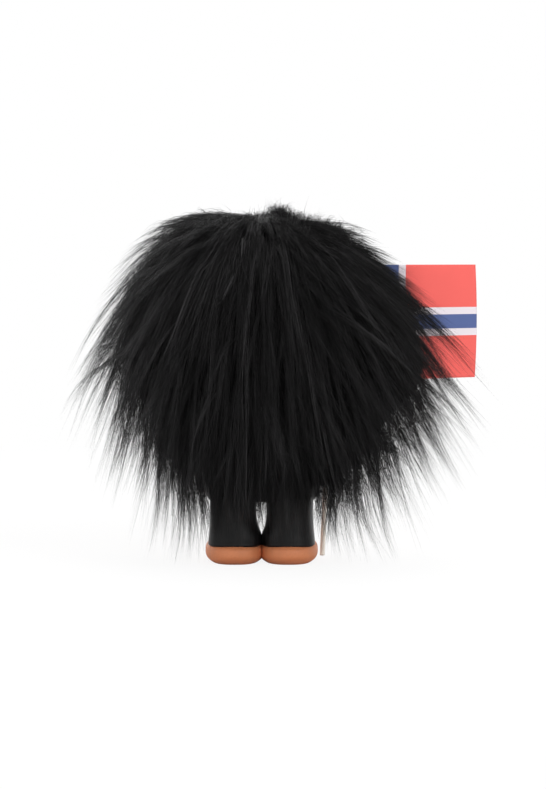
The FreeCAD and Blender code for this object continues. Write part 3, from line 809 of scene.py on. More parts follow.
@dataclass(frozen=True)
class HairTubes:
    """Turns hair paths into thin closed tubes of three sides that taper to a point."""

    sides: int = 3
    taper_power: float = 1.6
    thinnest: float = 0.15
    reference: Triple = (0.31, 0.87, 0.38)

    def mesh(self, paths: Array, radii: Array) -> tuple[Array, Faces]:
        """Rings round each path's points, across its direction, and one point at its tip.

        Args:
            paths: Hairs by points by three.
            radii: Each hair's radius at its root.

        Returns:
            Vertices and triangles, hair after hair.
        """
        hairs, count, _ = paths.shape
        rings = count - 1
        along = unit(np.gradient(paths, axis=1))
        across = unit(np.cross(along, np.broadcast_to(np.array(self.reference), along.shape)))
        other = np.cross(along, across)
        share = np.arange(rings) / rings
        taper = (1.0 - share ** self.taper_power) * (1.0 - self.thinnest) + self.thinnest
        turn = ROUND * np.arange(self.sides) / self.sides
        reach = radii[:, None, None, None] * taper[None, :, None, None]
        circle = (
            across[:, :rings, None, :] * np.cos(turn)[None, None, :, None]
            + other[:, :rings, None, :] * np.sin(turn)[None, None, :, None]
        )
        tube = (paths[:, :rings, None, :] + circle * reach).reshape(hairs, rings * self.sides, 3)
        points = np.concatenate([tube, paths[:, -1:, :]], axis=1)
        shift = (np.arange(hairs) * (rings * self.sides + 1))[:, None, None]
        triangles = self.pattern(rings)[None, :, :] + shift
        return points.reshape(-1, 3), triangles.reshape(-1, 3)

    def strand_map(self, tones: Array, count: int) -> Array:
        """A map for each vertex: its hair's tone, and its share of the way to the tip.

        Args:
            tones: One tone for each hair, from 0 to 1.
            count: Points on each hair's path.

        Returns:
            Pairs in the order of the mesh's vertices.
        """
        rings = count - 1
        along = np.append(np.repeat(np.arange(rings) / rings, self.sides), 1.0)
        return np.stack([np.repeat(tones, len(along)), np.tile(along, len(tones))], axis=-1)

    def pattern(self, rings: int) -> Faces:
        """One hair's triangles.

        Args:
            rings: How many rings it has.

        Returns:
            Its root cap, its sides and its tip.
        """
        faces = [(2, 1, 0)]
        for ring in range(rings - 1):
            low, high = ring * self.sides, (ring + 1) * self.sides
            for side in range(self.sides):
                after = (side + 1) % self.sides
                faces.append((low + side, low + after, high + after))
                faces.append((low + side, high + after, high + side))
        last, tip = (rings - 1) * self.sides, rings * self.sides
        for side in range(self.sides):
            faces.append((last + side, last + (side + 1) % self.sides, tip))
        return np.array(faces, dtype=np.int64)


@dataclass
class Outline:
    """How far the fur reaches from its upright middle line, by height and by bearing.

    Heights and reaches are in millimetres.
    """

    middle: Pair = (-3.0 * MM, -4.0 * MM)
    heights: tuple[float, ...] = (2, 18, 28, 40, 50, 60, 72, 85, 95, 108, 120, 132, 138, 142)
    left_reach: tuple[float, ...] = (46, 52, 62, 69, 75, 79, 81, 75, 70, 66, 61, 53, 45, 30)
    right_reach: tuple[float, ...] = (48, 66, 72, 78, 82, 86, 89, 84, 77, 66, 54, 46, 38, 26)
    back_share: float = 0.80
    hem_bearings: tuple[float, ...] = (0, 20, 32, 50, 66, 80, 100, 125, 150)
    hem_heights: tuple[float, ...] = (14, 14, 13, 8, 1, 10, 28, 38, 44)

    def reach(self, bearing: Array, height: Array) -> Array:
        """The fur's radius: that of an ellipse whose half width is the side's own reach.

        Args:
            bearing: Degrees from the back.
            height: Heights in metres.

        Returns:
            One radius for each.
        """
        left = np.interp(height / MM, self.heights, self.left_reach) * MM
        right = np.interp(height / MM, self.heights, self.right_reach) * MM
        turn = np.radians(bearing)
        wide = np.where(bearing > 0.0, right, left)
        deep = 0.5 * (left + right) * self.back_share
        return 1.0 / np.sqrt((np.sin(turn) / wide) ** 2 + (np.cos(turn) / deep) ** 2)

    def hem(self, bearing: Array) -> Array:
        """The height of the lowest tips at a bearing."""
        return np.interp(np.abs(bearing), self.hem_bearings, self.hem_heights) * MM

    def point(self, bearing: Array, radius: Array, height: Array) -> Array:
        """Points at a bearing, a radius and a height.

        Args:
            bearing: Degrees from the back.
            radius: Metres from the middle line.
            height: Metres from the floor.

        Returns:
            The points.
        """
        turn = np.radians(bearing)
        x = self.middle[0] - radius * np.sin(turn)
        y = self.middle[1] + radius * np.cos(turn)
        return np.stack([x, y, height], axis=-1)


@dataclass
class Scalp:
    """The hide that the hair grows from: a dome over the head and a cape that widens below it."""

    centre: Triple = (0.0, -2.0 * MM, 104.5 * MM)
    half: Triple = (35.0 * MM, 30.0 * MM, 35.5 * MM)
    cape_foot: float = 50.0 * MM
    cape_spread: float = 7.0 * MM
    dome_share: float = 0.62

    def root(self, bearing: Array, share: Array) -> tuple[Array, Array]:
        """Roots and the hide's outward directions there.

        Args:
            bearing: Degrees from the back.
            share: 0 at the top of the head, 1 at the cape's lower edge.

        Returns:
            The points, and unit vectors away from the hide.
        """
        turn = np.radians(bearing)
        outward = np.stack([-np.sin(turn), np.cos(turn), np.zeros_like(turn)], axis=-1)
        tilt = np.minimum(share / self.dome_share, 1.0) * np.pi / 2.0
        below = np.maximum(share - self.dome_share, 0.0) / (1.0 - self.dome_share)
        ring = np.sin(tilt)
        spread = below * self.cape_spread
        height = self.centre[2] + self.half[2] * np.cos(tilt)
        height = height - below * (self.centre[2] - self.cape_foot)
        place = np.stack([
            self.centre[0] + outward[..., 0] * (self.half[0] * ring + spread),
            self.centre[1] + outward[..., 1] * (self.half[1] * ring + spread),
            height,
        ], axis=-1)
        normal = outward * ring[..., None]
        normal[..., 2] = np.cos(tilt)
        return place, unit(normal)


@dataclass
class Undercoat:
    """The hide with its dense short wool: an open-fronted bell that fills the fur's inside.

    Heights, the well's radii and the ridges' period are in millimetres.
    """

    outline: Outline = field(default_factory=Outline)
    heights: tuple[float, ...] = (138, 137.5, 135, 130, 122, 110, 96, 82, 70, 60, 50, 40, 33)
    reach_shares: tuple[float, ...] = (
        0.02, 0.52, 0.70, 0.77, 0.79, 0.80, 0.78, 0.74, 0.66, 0.57, 0.50, 0.43, 0.38,
    )
    crown_knots: int = 5
    columns: int = 120
    rows: int = 40
    inner_rows: int = 12
    inner_top: float = 92.0
    inner_step: float = 1.0
    well_heights: Pair = (34.0, 60.0)
    well_radii: Pair = (26.0, 29.0)
    ridge: float = 1.6 * MM
    ridges: float = 37.0
    ridge_sway: float = 3.0
    ridge_period: float = 17.0
    front: float = -13.0 * MM
    front_setback: float = 8.0 * MM
    setback_top: float = 92.0 * MM
    setback_height: float = 44.0 * MM
    cap_reach: float = 7.5 * MM
    cap_foot: float = 124.0 * MM
    cap_height: float = 8.0 * MM
    flattened: float = 0.03
    front_lift: float = 16.0 * MM
    lift_bearing: float = 75.0
    lift_turn: float = 60.0
    lift_top: float = 72.0 * MM
    lift_height: float = 39.0 * MM

    def crown(self, ring: Array) -> Array:
        """The height of its top at a share of the outline's reach."""
        known = slice(0, self.crown_knots)
        return np.interp(ring, self.reach_shares[known], self.heights[known]) * MM

    def lifted(self, bearing: Array, height: Array) -> Array:
        """Heights with the hem drawn up towards the open front.

        Args:
            bearing: Degrees from the back.
            height: Heights in metres.

        Returns:
            The new heights.
        """
        ahead = smooth((np.abs(bearing) - self.lift_bearing) / self.lift_turn)
        low = smooth((self.lift_top - height) / self.lift_height)
        return height + self.front_lift * ahead * low

    def outside(self, bearing: Array) -> Array:
        """Rows from the top down to the hem.

        Radius = a share of the outline's reach by height, with ridges that run down like the locks.

        Args:
            bearing: The columns' bearings.

        Returns:
            A grid of points.
        """
        down = np.linspace(0.0, 1.0, self.rows)
        knots = np.arange(len(self.heights))
        spots = down * (len(self.heights) - 1)
        height = np.interp(spots, knots, self.heights) * MM
        share = np.interp(spots, knots, self.reach_shares)
        bearing, height = np.meshgrid(bearing, height)
        sway = self.ridge_sway * np.sin(height / MM / self.ridge_period)
        ridges = np.sin(np.radians(bearing) * self.ridges + sway) * self.ridge
        radius = self.outline.reach(bearing, height) * share[:, None]
        radius = radius + ridges * smooth(down)[:, None]
        return self.outline.point(bearing, radius, self.lifted(bearing, height))

    def inside(self, bearing: Array) -> Array:
        """Rows from the hem back up round the body's well.

        Args:
            bearing: The columns' bearings.

        Returns:
            A grid of points.
        """
        height = np.linspace(self.heights[-1] + self.inner_step, self.inner_top, self.inner_rows)
        bearing, height = np.meshgrid(bearing, height * MM)
        well = np.interp(height / MM, self.well_heights, self.well_radii) * MM
        return self.outline.point(bearing, well, self.lifted(bearing, height))

    def build(self, material: bpy.types.Material) -> None:
        """Joins both sides into rings, closed at both tops.

        What lies ahead of the front edge is drawn back to it. That edge goes back lower down, and
        at the top it reaches forward as a cap.

        Args:
            material: Its finish.
        """
        bearing = np.linspace(-180.0, 180.0, self.columns, endpoint=False)
        points = np.concatenate([self.outside(bearing), self.inside(bearing)])
        y, z = points[..., 1], points[..., 2]
        low = smooth((self.setback_top - z) / self.setback_height)
        top = smooth((z - self.cap_foot) / self.cap_height)
        front = self.front + self.front_setback * low - self.cap_reach * top
        points[..., 1] = np.maximum(y, front + self.flattened * (y - front))
        faces = capped_rings(len(points), self.columns)
        piece = make_piece("undercoat", points, faces, material, FIGURE)
        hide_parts("pelt")


class Growth(Enum):
    """The ways in which a group's locks grow."""

    LONG = "long"
    CROWN = "crown"
    FRINGE = "fringe"


@dataclass(frozen=True)
class LockPlan:
    """Where a group of locks grows and ends, as ranges that are drawn from, and how thick it is.

    Roots are shares of the way down the hide, or from the crown's middle to its edge.
    """

    name: str
    replaces: tuple[str, ...]
    locks: int
    hairs: int
    bearings: Pair
    highest_tip: float = 140.0 * MM
    low_tips: float = 1.0
    depth: Pair = (0.78, 1.06)
    roots: Optional[Pair] = None
    growth: Growth = Growth.LONG
    points: int = 7
    root_spread: float = 2.4 * MM
    tip_spread: float = 0.5 * MM
    wave: float = 0.65 * MM
    radius: float = 0.10 * MM
    length: float = 0.0
    front: float = -20.6 * MM
    parts: int = 1


@dataclass(frozen=True)
class LockCurve:
    """How a lock's middle line leaves the hide and reaches its tip.

    Where two fields have several values, the first has the knots and the second what holds there,
    with straight lines between. Tip heights are in millimetres.
    """

    lift: float = 0.34
    droop_bearings: Triple = (-60.0, 0.0, 60.0)
    droops: Triple = (0.14, 0.0, 0.42)
    outward: float = 0.55
    outward_loss: float = 0.27
    sideways: float = 0.8
    fall_heights: tuple[float, ...] = (10, 60, 100, 130)
    falls: tuple[float, ...] = (2.9, 1.9, 1.1, 0.8)
    right_bearings: Pair = (0.0, 50.0)
    right_falls: Pair = (1.0, 0.60)
    fall_range: Pair = (0.8, 1.25)
    first_reach: float = 0.36
    last_reach: float = 0.40

    def points(
        self, count: int, root: Array, normal: Array, tip: Array, bearing: Array,
        rng: np.random.Generator,
    ) -> Array:
        """Points of the cubic Bezier curves between roots and tips.

        A curve leaves the hide along a mix of its outward normal and the level way to the tip,
        drooping at the sides, and reaches the tip falling, steeper the lower that is, and less
        steeply on the right side.

        Args:
            count: Points on each curve.
            root: Where the curves start.
            normal: The hide's outward directions there.
            tip: Where they end.
            bearing: Their bearings.
            rng: The source of chance.

        Returns:
            Curves by points by three.
        """
        chord = tip - root
        length = np.linalg.norm(chord, axis=-1, keepdims=True)
        ahead = unit(chord * LEVEL)
        upright = normal[:, 2:]
        rise = rng.uniform(0.0, self.lift, (len(root), 1)) * (1.0 - upright)
        rise = rise - np.interp(bearing, self.droop_bearings, self.droops)[:, None]
        outward = normal * (self.outward - self.outward_loss * upright)
        start = unit(outward + ahead * self.sideways + UP * rise)
        fall = np.interp(tip[:, 2:] / MM, self.fall_heights, self.falls)
        fall = fall * np.interp(bearing, self.right_bearings, self.right_falls)[:, None]
        end = unit(ahead - UP * fall * rng.uniform(*self.fall_range, (len(root), 1)))
        first = root + start * length * self.first_reach
        last = tip - end * length * self.last_reach
        t = np.linspace(0.0, 1.0, count)[None, :, None]
        return (
            root[:, None] * (1 - t) ** 3 + 3 * first[:, None] * (1 - t) ** 2 * t
            + 3 * last[:, None] * (1 - t) * t ** 2 + tip[:, None] * t ** 3
        )


@dataclass(frozen=True)
class HairSpread:
    """How the hairs of a lock lie round its middle line."""

    ends: Pair = (0.78, 1.10)
    stray_share: float = 0.16
    strays: Pair = (2.0, 5.0)
    turns: Pair = (0.6, 1.5)

    def paths(self, plan: LockPlan, guides: Array, rng: np.random.Generator) -> Array:
        """Hairs round each lock's middle line: spread at the root, drawn together at the tip.

        Each hair keeps its own offset from the line, which shrinks towards the tip, ends somewhat
        before or after the line's own end, and waves a little sideways; some stray at the tip.

        Args:
            plan: The group's plan.
            guides: Locks by points by three.
            rng: The source of chance.

        Returns:
            Hairs by points by three.
        """
        locks, count, _ = guides.shape
        total = locks * plan.hairs
        ends = rng.uniform(*self.ends, total)
        paths = self.resample(np.repeat(guides, plan.hairs, axis=0), ends)
        t = np.linspace(0.0, 1.0, count)[None, :]
        along = unit(np.gradient(paths, axis=1))
        side = unit(np.cross(along, UP))
        other = np.cross(along, side)
        angle = rng.uniform(0.0, ROUND, total)
        ring = np.sqrt(rng.uniform(0.0, 1.0, total))
        strays = rng.uniform(0.0, 1.0, total) < self.stray_share
        stray = np.where(strays, rng.uniform(*self.strays, total), 1.0)
        spread = plan.root_spread * (1.0 - smooth(t)) + plan.tip_spread * stray[:, None] * t
        own_wave = rng.normal(0.0, plan.wave, (total, 2))
        wave = own_wave + np.repeat(rng.normal(0.0, plan.wave, (locks, 2)), plan.hairs, axis=0)
        phase = np.repeat(rng.uniform(0.0, ROUND, (locks, 1)), plan.hairs, axis=0)
        turns = rng.uniform(*self.turns, (total, 1))
        sway = np.sin(phase + ROUND * turns * t) * t
        u = (ring * np.cos(angle))[:, None] * spread + wave[:, :1] * sway
        v = (ring * np.sin(angle))[:, None] * spread + wave[:, 1:] * sway
        return paths + side * u[..., None] + other * v[..., None]

    @staticmethod
    def resample(base: Array, end: Array) -> Array:
        """Each path again with as many points, but longer or shorter.

        Args:
            base: Paths by points by three.
            end: The share of its length at which each new path ends, which may be over 1.

        Returns:
            The new paths.
        """
        count = base.shape[1]
        where = np.linspace(0.0, 1.0, count)[None, :] * end[:, None] * (count - 1)
        low = np.clip(np.floor(where).astype(int), 0, count - 2)
        part = (where - low)[..., None]
        first = np.take_along_axis(base, low[..., None], axis=1)
        second = np.take_along_axis(base, (low + 1)[..., None], axis=1)
        return first * (1.0 - part) + second * part


@dataclass(frozen=True)
class Clearance:
    """Where hair may not lie: under the floor, ahead of its limit, in the face, ears and arms.

    Beside each named part it stays behind a share of that part's depth.
    """

    floor: float = 0.7 * MM
    floor_spread: float = 0.04
    overrun: float = 0.12
    margin: float = 1.0 * MM
    parts: tuple[tuple[str, float], ...] = (
        ("left_ear", 1.0), ("left_arm", 0.45), ("left_hand", 1.0),
    )
    face_half_width: float = 27.0 * MM
    face_front: float = -10.0 * MM
    face_top: float = 116.0 * MM

    def keep(self, paths: Array, front: Array, beside_face: bool) -> Array:
        """Moves hair out of these places. The left parts' sizes hold for both sides.

        Args:
            paths: Hairs by points by three.
            front: Each hair's least y.
            beside_face: Whether hair ahead of the cheeks is also moved out beside the face.

        Returns:
            The paths again.
        """
        x, y, z = paths[..., 0], paths[..., 1], paths[..., 2]
        z = np.maximum(z, self.floor + self.floor_spread * np.abs(z - self.floor))
        over = np.maximum(front - y, 0.0)
        y = np.where(over > 0.0, front + self.overrun * over, y)
        for name, depth in self.parts:
            low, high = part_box(name)
            beside = np.abs(x) < high[0] + self.margin
            level = (z > low[2] - self.margin) & (z < high[2] + self.margin)
            behind = low[1] + depth * (high[1] - low[1])
            y = np.where(beside & level, np.maximum(y, behind), y)
        ahead = (y < self.face_front) & (z < self.face_top) & (np.abs(x) < self.face_half_width)
        side = np.where(x < 0.0, -1.0, 1.0)
        x = np.where(ahead & beside_face, side * self.face_half_width, x)
        return np.stack([x, y, z], axis=-1)


@dataclass
class Mane:
    """Locks of long hair that rise from the hide, arch over and fall to the fur's outline.

    Tip heights are in millimetres, and each range is drawn from evenly.
    """

    outline: Outline = field(default_factory=Outline)
    scalp: Scalp = field(default_factory=Scalp)
    undercoat: Undercoat = field(default_factory=Undercoat)
    tubes: HairTubes = HairTubes()
    curve: LockCurve = LockCurve()
    spread: HairSpread = HairSpread()
    clearance: Clearance = Clearance()
    seed: int = 20
    thickness: Pair = (0.7, 1.15)
    lock_tone: float = 0.6
    tone_power: float = 2.0
    ragged_front: float = 9.0 * MM
    tip_height_noise: float = 2.0 * MM
    tip_bearing_noise: float = 3.0
    root_bearing_noise: float = 8.0
    tip_heights: tuple[float, ...] = (10, 60, 100, 130)
    lowest_roots: tuple[float, ...] = (0.95, 0.80, 0.50, 0.26)
    highest_root: float = 0.05
    least_root: float = 0.07
    gather_bearings: Triple = (0.0, 80.0, 130.0)
    gathers: Triple = (0.60, 0.66, 1.0)
    crown_sunk: float = 0.8 * MM
    crown_lean_start: float = 0.3
    crown_leans: Pair = (0.15, 1.3)
    crown_lengths: Pair = (0.5, 1.25)
    crown_frizz: float = 0.42
    tuft_x: float = -7.0 * MM
    tuft_half_width: float = 8.0 * MM
    tuft_rise: float = 0.45
    fringe_turn: float = 0.22
    fringe_lengths: Pair = (0.6, 1.15)
    fringe_outward: float = 0.35
    fringe_forward: float = 0.45
    fringe_drop: float = 0.85
    fringe_top_loss: float = 0.45
    fringe_top_start: float = 0.70
    fringe_top_span: float = 0.25
    plans: tuple[LockPlan, ...] = (
        LockPlan("fur_left", ("mane_left",), 740, 14, (-150, -46), 140 * MM, 0.85, parts=2),
        LockPlan(
            "fur_back", ("mane_back",), 1060, 14, (-54, 54), 134 * MM, 0.75, (0.70, 1.02),
            points=6, parts=3,
        ),
        LockPlan("fur_right", ("mane_right",), 820, 14, (46, 150), 136 * MM, 1.05, parts=2),
        LockPlan(
            "fur_low", ("under_pile",), 540, 14, (-80, 80), 46 * MM, 0.8, (0.46, 0.88),
            roots=(0.78, 1.0), points=6, parts=2,
        ),
        LockPlan(
            "fur_nape", ("under_pile",), 200, 12, (-28, 28), 36 * MM, 1.0, (0.42, 0.80),
            roots=(0.82, 1.0), points=6,
        ),
        LockPlan(
            "fur_crown", ("crown_pile",), 660, 8, (-180, 180), roots=(0.0, 1.0),
            growth=Growth.CROWN, points=5, root_spread=1.3 * MM, tip_spread=1.7 * MM,
            wave=0.9 * MM, length=5.2 * MM,
        ),
        LockPlan(
            "fur_tuft", ("crown_pile",), 110, 12, (20, 160), roots=(0.0, 0.30),
            growth=Growth.CROWN, points=5, root_spread=1.5 * MM, tip_spread=1.1 * MM,
            wave=0.9 * MM, length=6.0 * MM,
        ),
        LockPlan(
            "fur_fringe", ("fringe_pile",), 280, 11, (146, 214), roots=(0.06, 0.36),
            growth=Growth.FRINGE, points=5, root_spread=1.6 * MM, length=14.0 * MM,
            front=-37.0 * MM,
        ),
    )

    def build(self, material: bpy.types.Material) -> None:
        """Builds every group of locks, each in a few pieces.

        Args:
            material: Their finish.
        """
        rng = np.random.default_rng(self.seed)
        growths = {
            Growth.LONG: self.long_locks,
            Growth.CROWN: self.crown_tufts,
            Growth.FRINGE: self.fringe_tufts,
        }
        for plan in self.plans:
            paths = self.spread.paths(plan, growths[plan.growth](plan, rng), rng)
            front = plan.front + rng.uniform(0.0, self.ragged_front, (len(paths), 1))
            paths = self.clearance.keep(paths, front, plan.growth is not Growth.FRINGE)
            radii = plan.radius * rng.uniform(*self.thickness, len(paths))
            tones = self.tones(plan, rng)
            groups = np.array_split(np.arange(len(paths)), plan.parts)
            for part, chosen in enumerate(groups, start=1):
                points, triangles = self.tubes.mesh(paths[chosen], radii[chosen])
                name = f"{plan.name}_{part}" if plan.parts > 1 else plan.name
                piece = make_triangles(name, points, triangles, material, FIGURE)
                add_map(piece, STRAND_MAP, self.tubes.strand_map(tones[chosen], plan.points))
                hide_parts(*plan.replaces)

    def tones(self, plan: LockPlan, rng: np.random.Generator) -> Array:
        """Each hair's tone, which sets its share of the fur's pale colour, partly painted
        highlight: mostly its lock's own, which is seldom pale, and partly its own.

        Args:
            plan: The group's plan.
            rng: The source of chance.

        Returns:
            One tone for each hair, from 0 to 1.
        """
        lock = np.repeat(rng.uniform(0.0, 1.0, plan.locks) ** self.tone_power, plan.hairs)
        own = rng.uniform(0.0, 1.0, len(lock))
        return self.lock_tone * lock + (1.0 - self.lock_tone) * own

    def long_locks(self, plan: LockPlan, rng: np.random.Generator) -> Array:
        """One middle line for each lock, from its root to a tip on the outline.

        Tip heights are drawn from the hem up to the plan's highest. Low tips have roots further
        down the hide, and the roots are gathered towards the middle of the back, so the locks fan
        out.

        Args:
            plan: The group's plan.
            rng: The source of chance.

        Returns:
            Locks by points by three.
        """
        count = plan.locks
        bearing = rng.uniform(*plan.bearings, count)
        lowest = self.outline.hem(bearing)
        drawn = rng.uniform(0.0, 1.0, count) ** (1.0 / plan.low_tips)
        height = lowest + (plan.highest_tip - lowest) * (1.0 - drawn)
        height = height + rng.normal(0.0, self.tip_height_noise, count)
        radius = self.outline.reach(bearing, height) * rng.uniform(*plan.depth, count)
        tip_bearing = bearing + rng.normal(0.0, self.tip_bearing_noise, count)
        tip = self.outline.point(tip_bearing, radius, height)
        if plan.roots:
            share = rng.uniform(*plan.roots, count)
        else:
            lowest_root = np.interp(height / MM, self.tip_heights, self.lowest_roots)
            share = rng.uniform(self.highest_root, np.maximum(lowest_root, self.least_root))
        gather = np.interp(np.abs(bearing), self.gather_bearings, self.gathers)
        root_bearing = bearing * gather + rng.normal(0.0, self.root_bearing_noise, count)
        root, normal = self.scalp.root(root_bearing, share)
        return self.curve.points(plan.points, root, normal, tip, bearing, rng)

    def crown_tufts(self, plan: LockPlan, rng: np.random.Generator) -> Array:
        """Middle lines of short frizzy tufts all over the undercoat's nearly flat top.

        They lean away from the middle, more so towards the edge, and are taller in one place.

        Args:
            plan: The group's plan.
            rng: The source of chance.

        Returns:
            Locks by points by three.
        """
        count = plan.locks
        bearing = rng.uniform(*plan.bearings, count)
        widest = self.undercoat.reach_shares[self.undercoat.crown_knots - 1]
        near, far = plan.roots
        ring = widest * np.sqrt(rng.uniform(near ** 2, far ** 2, count))
        height = self.undercoat.crown(ring)
        radius = self.outline.reach(bearing, height) * ring
        root = self.outline.point(bearing, radius, height - self.crown_sunk)
        root[:, 1] = np.maximum(root[:, 1], self.undercoat.front - self.undercoat.cap_reach)
        turn = np.radians(bearing)
        aside = np.interp(ring, (self.crown_lean_start * widest, widest), self.crown_leans)
        outward = np.stack([-np.sin(turn) * aside, np.cos(turn) * aside, np.ones(count)], axis=-1)
        normal = unit(outward)
        from_tuft = (root[:, 0] - self.tuft_x) / self.tuft_half_width
        tall = 1.0 + self.tuft_rise * np.exp(-(from_tuft ** 2))
        length = plan.length * rng.uniform(*self.crown_lengths, count) * tall
        leaning = unit(normal + rng.normal(0.0, self.crown_frizz, (count, 3)))
        tip = root + leaning * length[:, None]
        return self.curve.points(plan.points, root, normal, tip, np.zeros(count), rng)

    def fringe_tufts(self, plan: LockPlan, rng: np.random.Generator) -> Array:
        """Middle lines of locks that fall over the forehead from the hide's front edge.

        The nearer to the top of the head a root is, the less its lock falls.

        Args:
            plan: The group's plan.
            rng: The source of chance.

        Returns:
            Locks by points by three.
        """
        count = plan.locks
        bearing = rng.uniform(*plan.bearings, count)
        root, normal = self.scalp.root(bearing, rng.uniform(*plan.roots, count))
        forward = unit(normal * LEVEL + rng.normal(0.0, self.fringe_turn, (count, 3)))
        length = plan.length * rng.uniform(*self.fringe_lengths, (count, 1))
        near_top = smooth((normal[:, 2:] - self.fringe_top_start) / self.fringe_top_span)
        drop = self.fringe_drop - self.fringe_top_loss * near_top
        way = normal * self.fringe_outward + forward * self.fringe_forward - UP * drop
        tip = root + way * length
        return self.curve.points(plan.points, root, normal, tip, np.zeros(count), rng)


@dataclass
class Brows:
    """Short bristly eyebrows on the brow ridge, which is an ellipsoid."""

    tubes: HairTubes = HairTubes()
    middle: Triple = (0.0, -26.4 * MM, 110.0 * MM)
    half: Triple = (18.5 * MM, 6.2 * MM, 4.2 * MM)
    inner: float = 3.0 * MM
    outer: float = 16.5 * MM
    gathering: Pair = (1.5, 1.3)
    highest_root: float = 70.0
    sunk_share: float = 0.97
    outward: float = 0.75
    aside: float = 0.9
    frizz: float = 0.16
    sag: float = 0.42
    hairs: int = 560
    length: float = 4.4 * MM
    lengths: Pair = (0.6, 1.2)
    radius: float = 0.13 * MM
    thickness: Pair = (0.7, 1.1)
    palest: float = 0.7
    points: int = 5
    seed: int = 7

    def build(self, material: bpy.types.Material) -> None:
        """Roots lie on the ellipsoid; each hair leans out to its own side and curves down.

        Args:
            material: Their finish.
        """
        rng = np.random.default_rng(self.seed)
        side = np.where(np.arange(self.hairs) % 2 == 0, 1.0, -1.0)
        share = rng.beta(*self.gathering, self.hairs)
        x = side * (self.inner + (self.outer - self.inner) * share)
        rise = np.radians(rng.uniform(0.0, self.highest_root, self.hairs))
        ring = np.sqrt(1.0 - (x / self.half[0]) ** 2)
        ball = np.stack([x / self.half[0], -ring * np.cos(rise), ring * np.sin(rise)], axis=-1)
        half = np.array(self.half)
        root = np.array(self.middle) + ball * half * self.sunk_share
        lean = unit(
            unit(ball / half) * self.outward + side[:, None] * np.array([self.aside, 0.0, 0.0])
            + rng.normal(0.0, self.frizz, (self.hairs, 3))
        )
        length = self.length * rng.uniform(*self.lengths, (self.hairs, 1, 1))
        t = np.linspace(0.0, 1.0, self.points)[None, :, None]
        paths = root[:, None] + (lean[:, None] * t - UP * self.sag * t ** 2) * length
        radii = self.radius * rng.uniform(*self.thickness, self.hairs)
        points, triangles = self.tubes.mesh(paths, radii)
        piece = make_triangles("brow_hair", points, triangles, material, FIGURE)
        # Tones set each brow hair's share of the fur's pale colour, partly a painted highlight.
        tones = rng.uniform(0.0, self.palest, self.hairs)
        add_map(piece, STRAND_MAP, self.tubes.strand_map(tones, self.points))


# Face


@dataclass
class Eye:
    """A glossy painted eyeball between two soft lids. Angles are in degrees, but for the pole's."""

    name: str
    rows: int = 48
    columns: int = 64
    pole: float = 0.02
    lid_rows: int = 18
    lid_columns: int = 40
    lid_gap: float = 0.06 * MM
    lid_thickness: float = 0.55 * MM
    lid_half_turn: float = 78.0
    lid_far: float = 82.0
    lid_bow: float = 1.12
    lid_roll: float = 0.12
    lid_thinnest: float = 0.04
    upper_edge: float = 22.0
    lower_edge: float = -30.0

    def build(self, paint: bpy.types.Material, skin: bpy.types.Material) -> None:
        """The ball's rings go round the line of sight; the map's V is the angle from it.

        Args:
            paint: The ball's finish.
            skin: The lids' finish.
        """
        low, high = (np.array(corner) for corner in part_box(self.name))
        centre, radius = 0.5 * (low + high), 0.5 * (high[2] - low[2])
        polar = np.linspace(self.pole, math.pi - self.pole, self.rows)
        turn = np.linspace(0.0, ROUND, self.columns, endpoint=False)
        turn, polar = np.meshgrid(turn, polar)
        outward = np.stack([
            np.sin(polar) * np.cos(turn), -np.cos(polar), np.sin(polar) * np.sin(turn),
        ], axis=-1)
        piece = make_piece(
            self.name + "_ball", centre + radius * outward, capped_rings(self.rows, self.columns),
            paint, FIGURE,
        )
        add_map(piece, BALL_MAP, np.stack([turn / ROUND, polar / math.pi], axis=-1))
        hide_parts(self.name)
        self.lid("upper_lid", centre, radius, (self.upper_edge, self.lid_far), skin)
        self.lid("lower_lid", centre, radius, (self.lower_edge, -self.lid_far), skin)

    def lid(
        self, kind: str, centre: Array, radius: float, span: Pair, skin: bpy.types.Material,
    ) -> None:
        """A thin shell on the ball from a bowed edge up or down to under the brow or cheek.

        Its edge nears the line of sight at the corners, and its thickness is rolled off there.

        Args:
            kind: The lid's name.
            centre: The ball's middle.
            radius: The ball's radius.
            span: The angles above the line of sight of its edge, at the middle, and hidden end.
            skin: Its finish.
        """
        edge, far = span
        turn = np.radians(np.linspace(-self.lid_half_turn, self.lid_half_turn, self.lid_columns))
        share = np.linspace(0.0, 1.0, self.lid_rows)
        bowed = edge * np.cos(turn * self.lid_bow)
        rise = np.radians(bowed[None, :] + (far - bowed[None, :]) * share[:, None])
        turn = np.broadcast_to(turn, rise.shape)
        outward = np.stack([
            np.sin(turn) * np.cos(rise), -np.cos(turn) * np.cos(rise), np.sin(rise),
        ], axis=-1)
        rolled = 1.0 - (1.0 - share / self.lid_roll).clip(0.0) ** 2
        thickness = self.lid_thickness * np.sqrt(np.clip(rolled, self.lid_thinnest, 1.0))
        inner = centre + outward * (radius + self.lid_gap)
        outer = inner + outward * thickness[:, None, None]
        make_piece(
            f"{self.name}_{kind}", np.concatenate([outer, inner]),
            slab_faces(self.lid_rows, self.lid_columns), skin, FIGURE,
        )


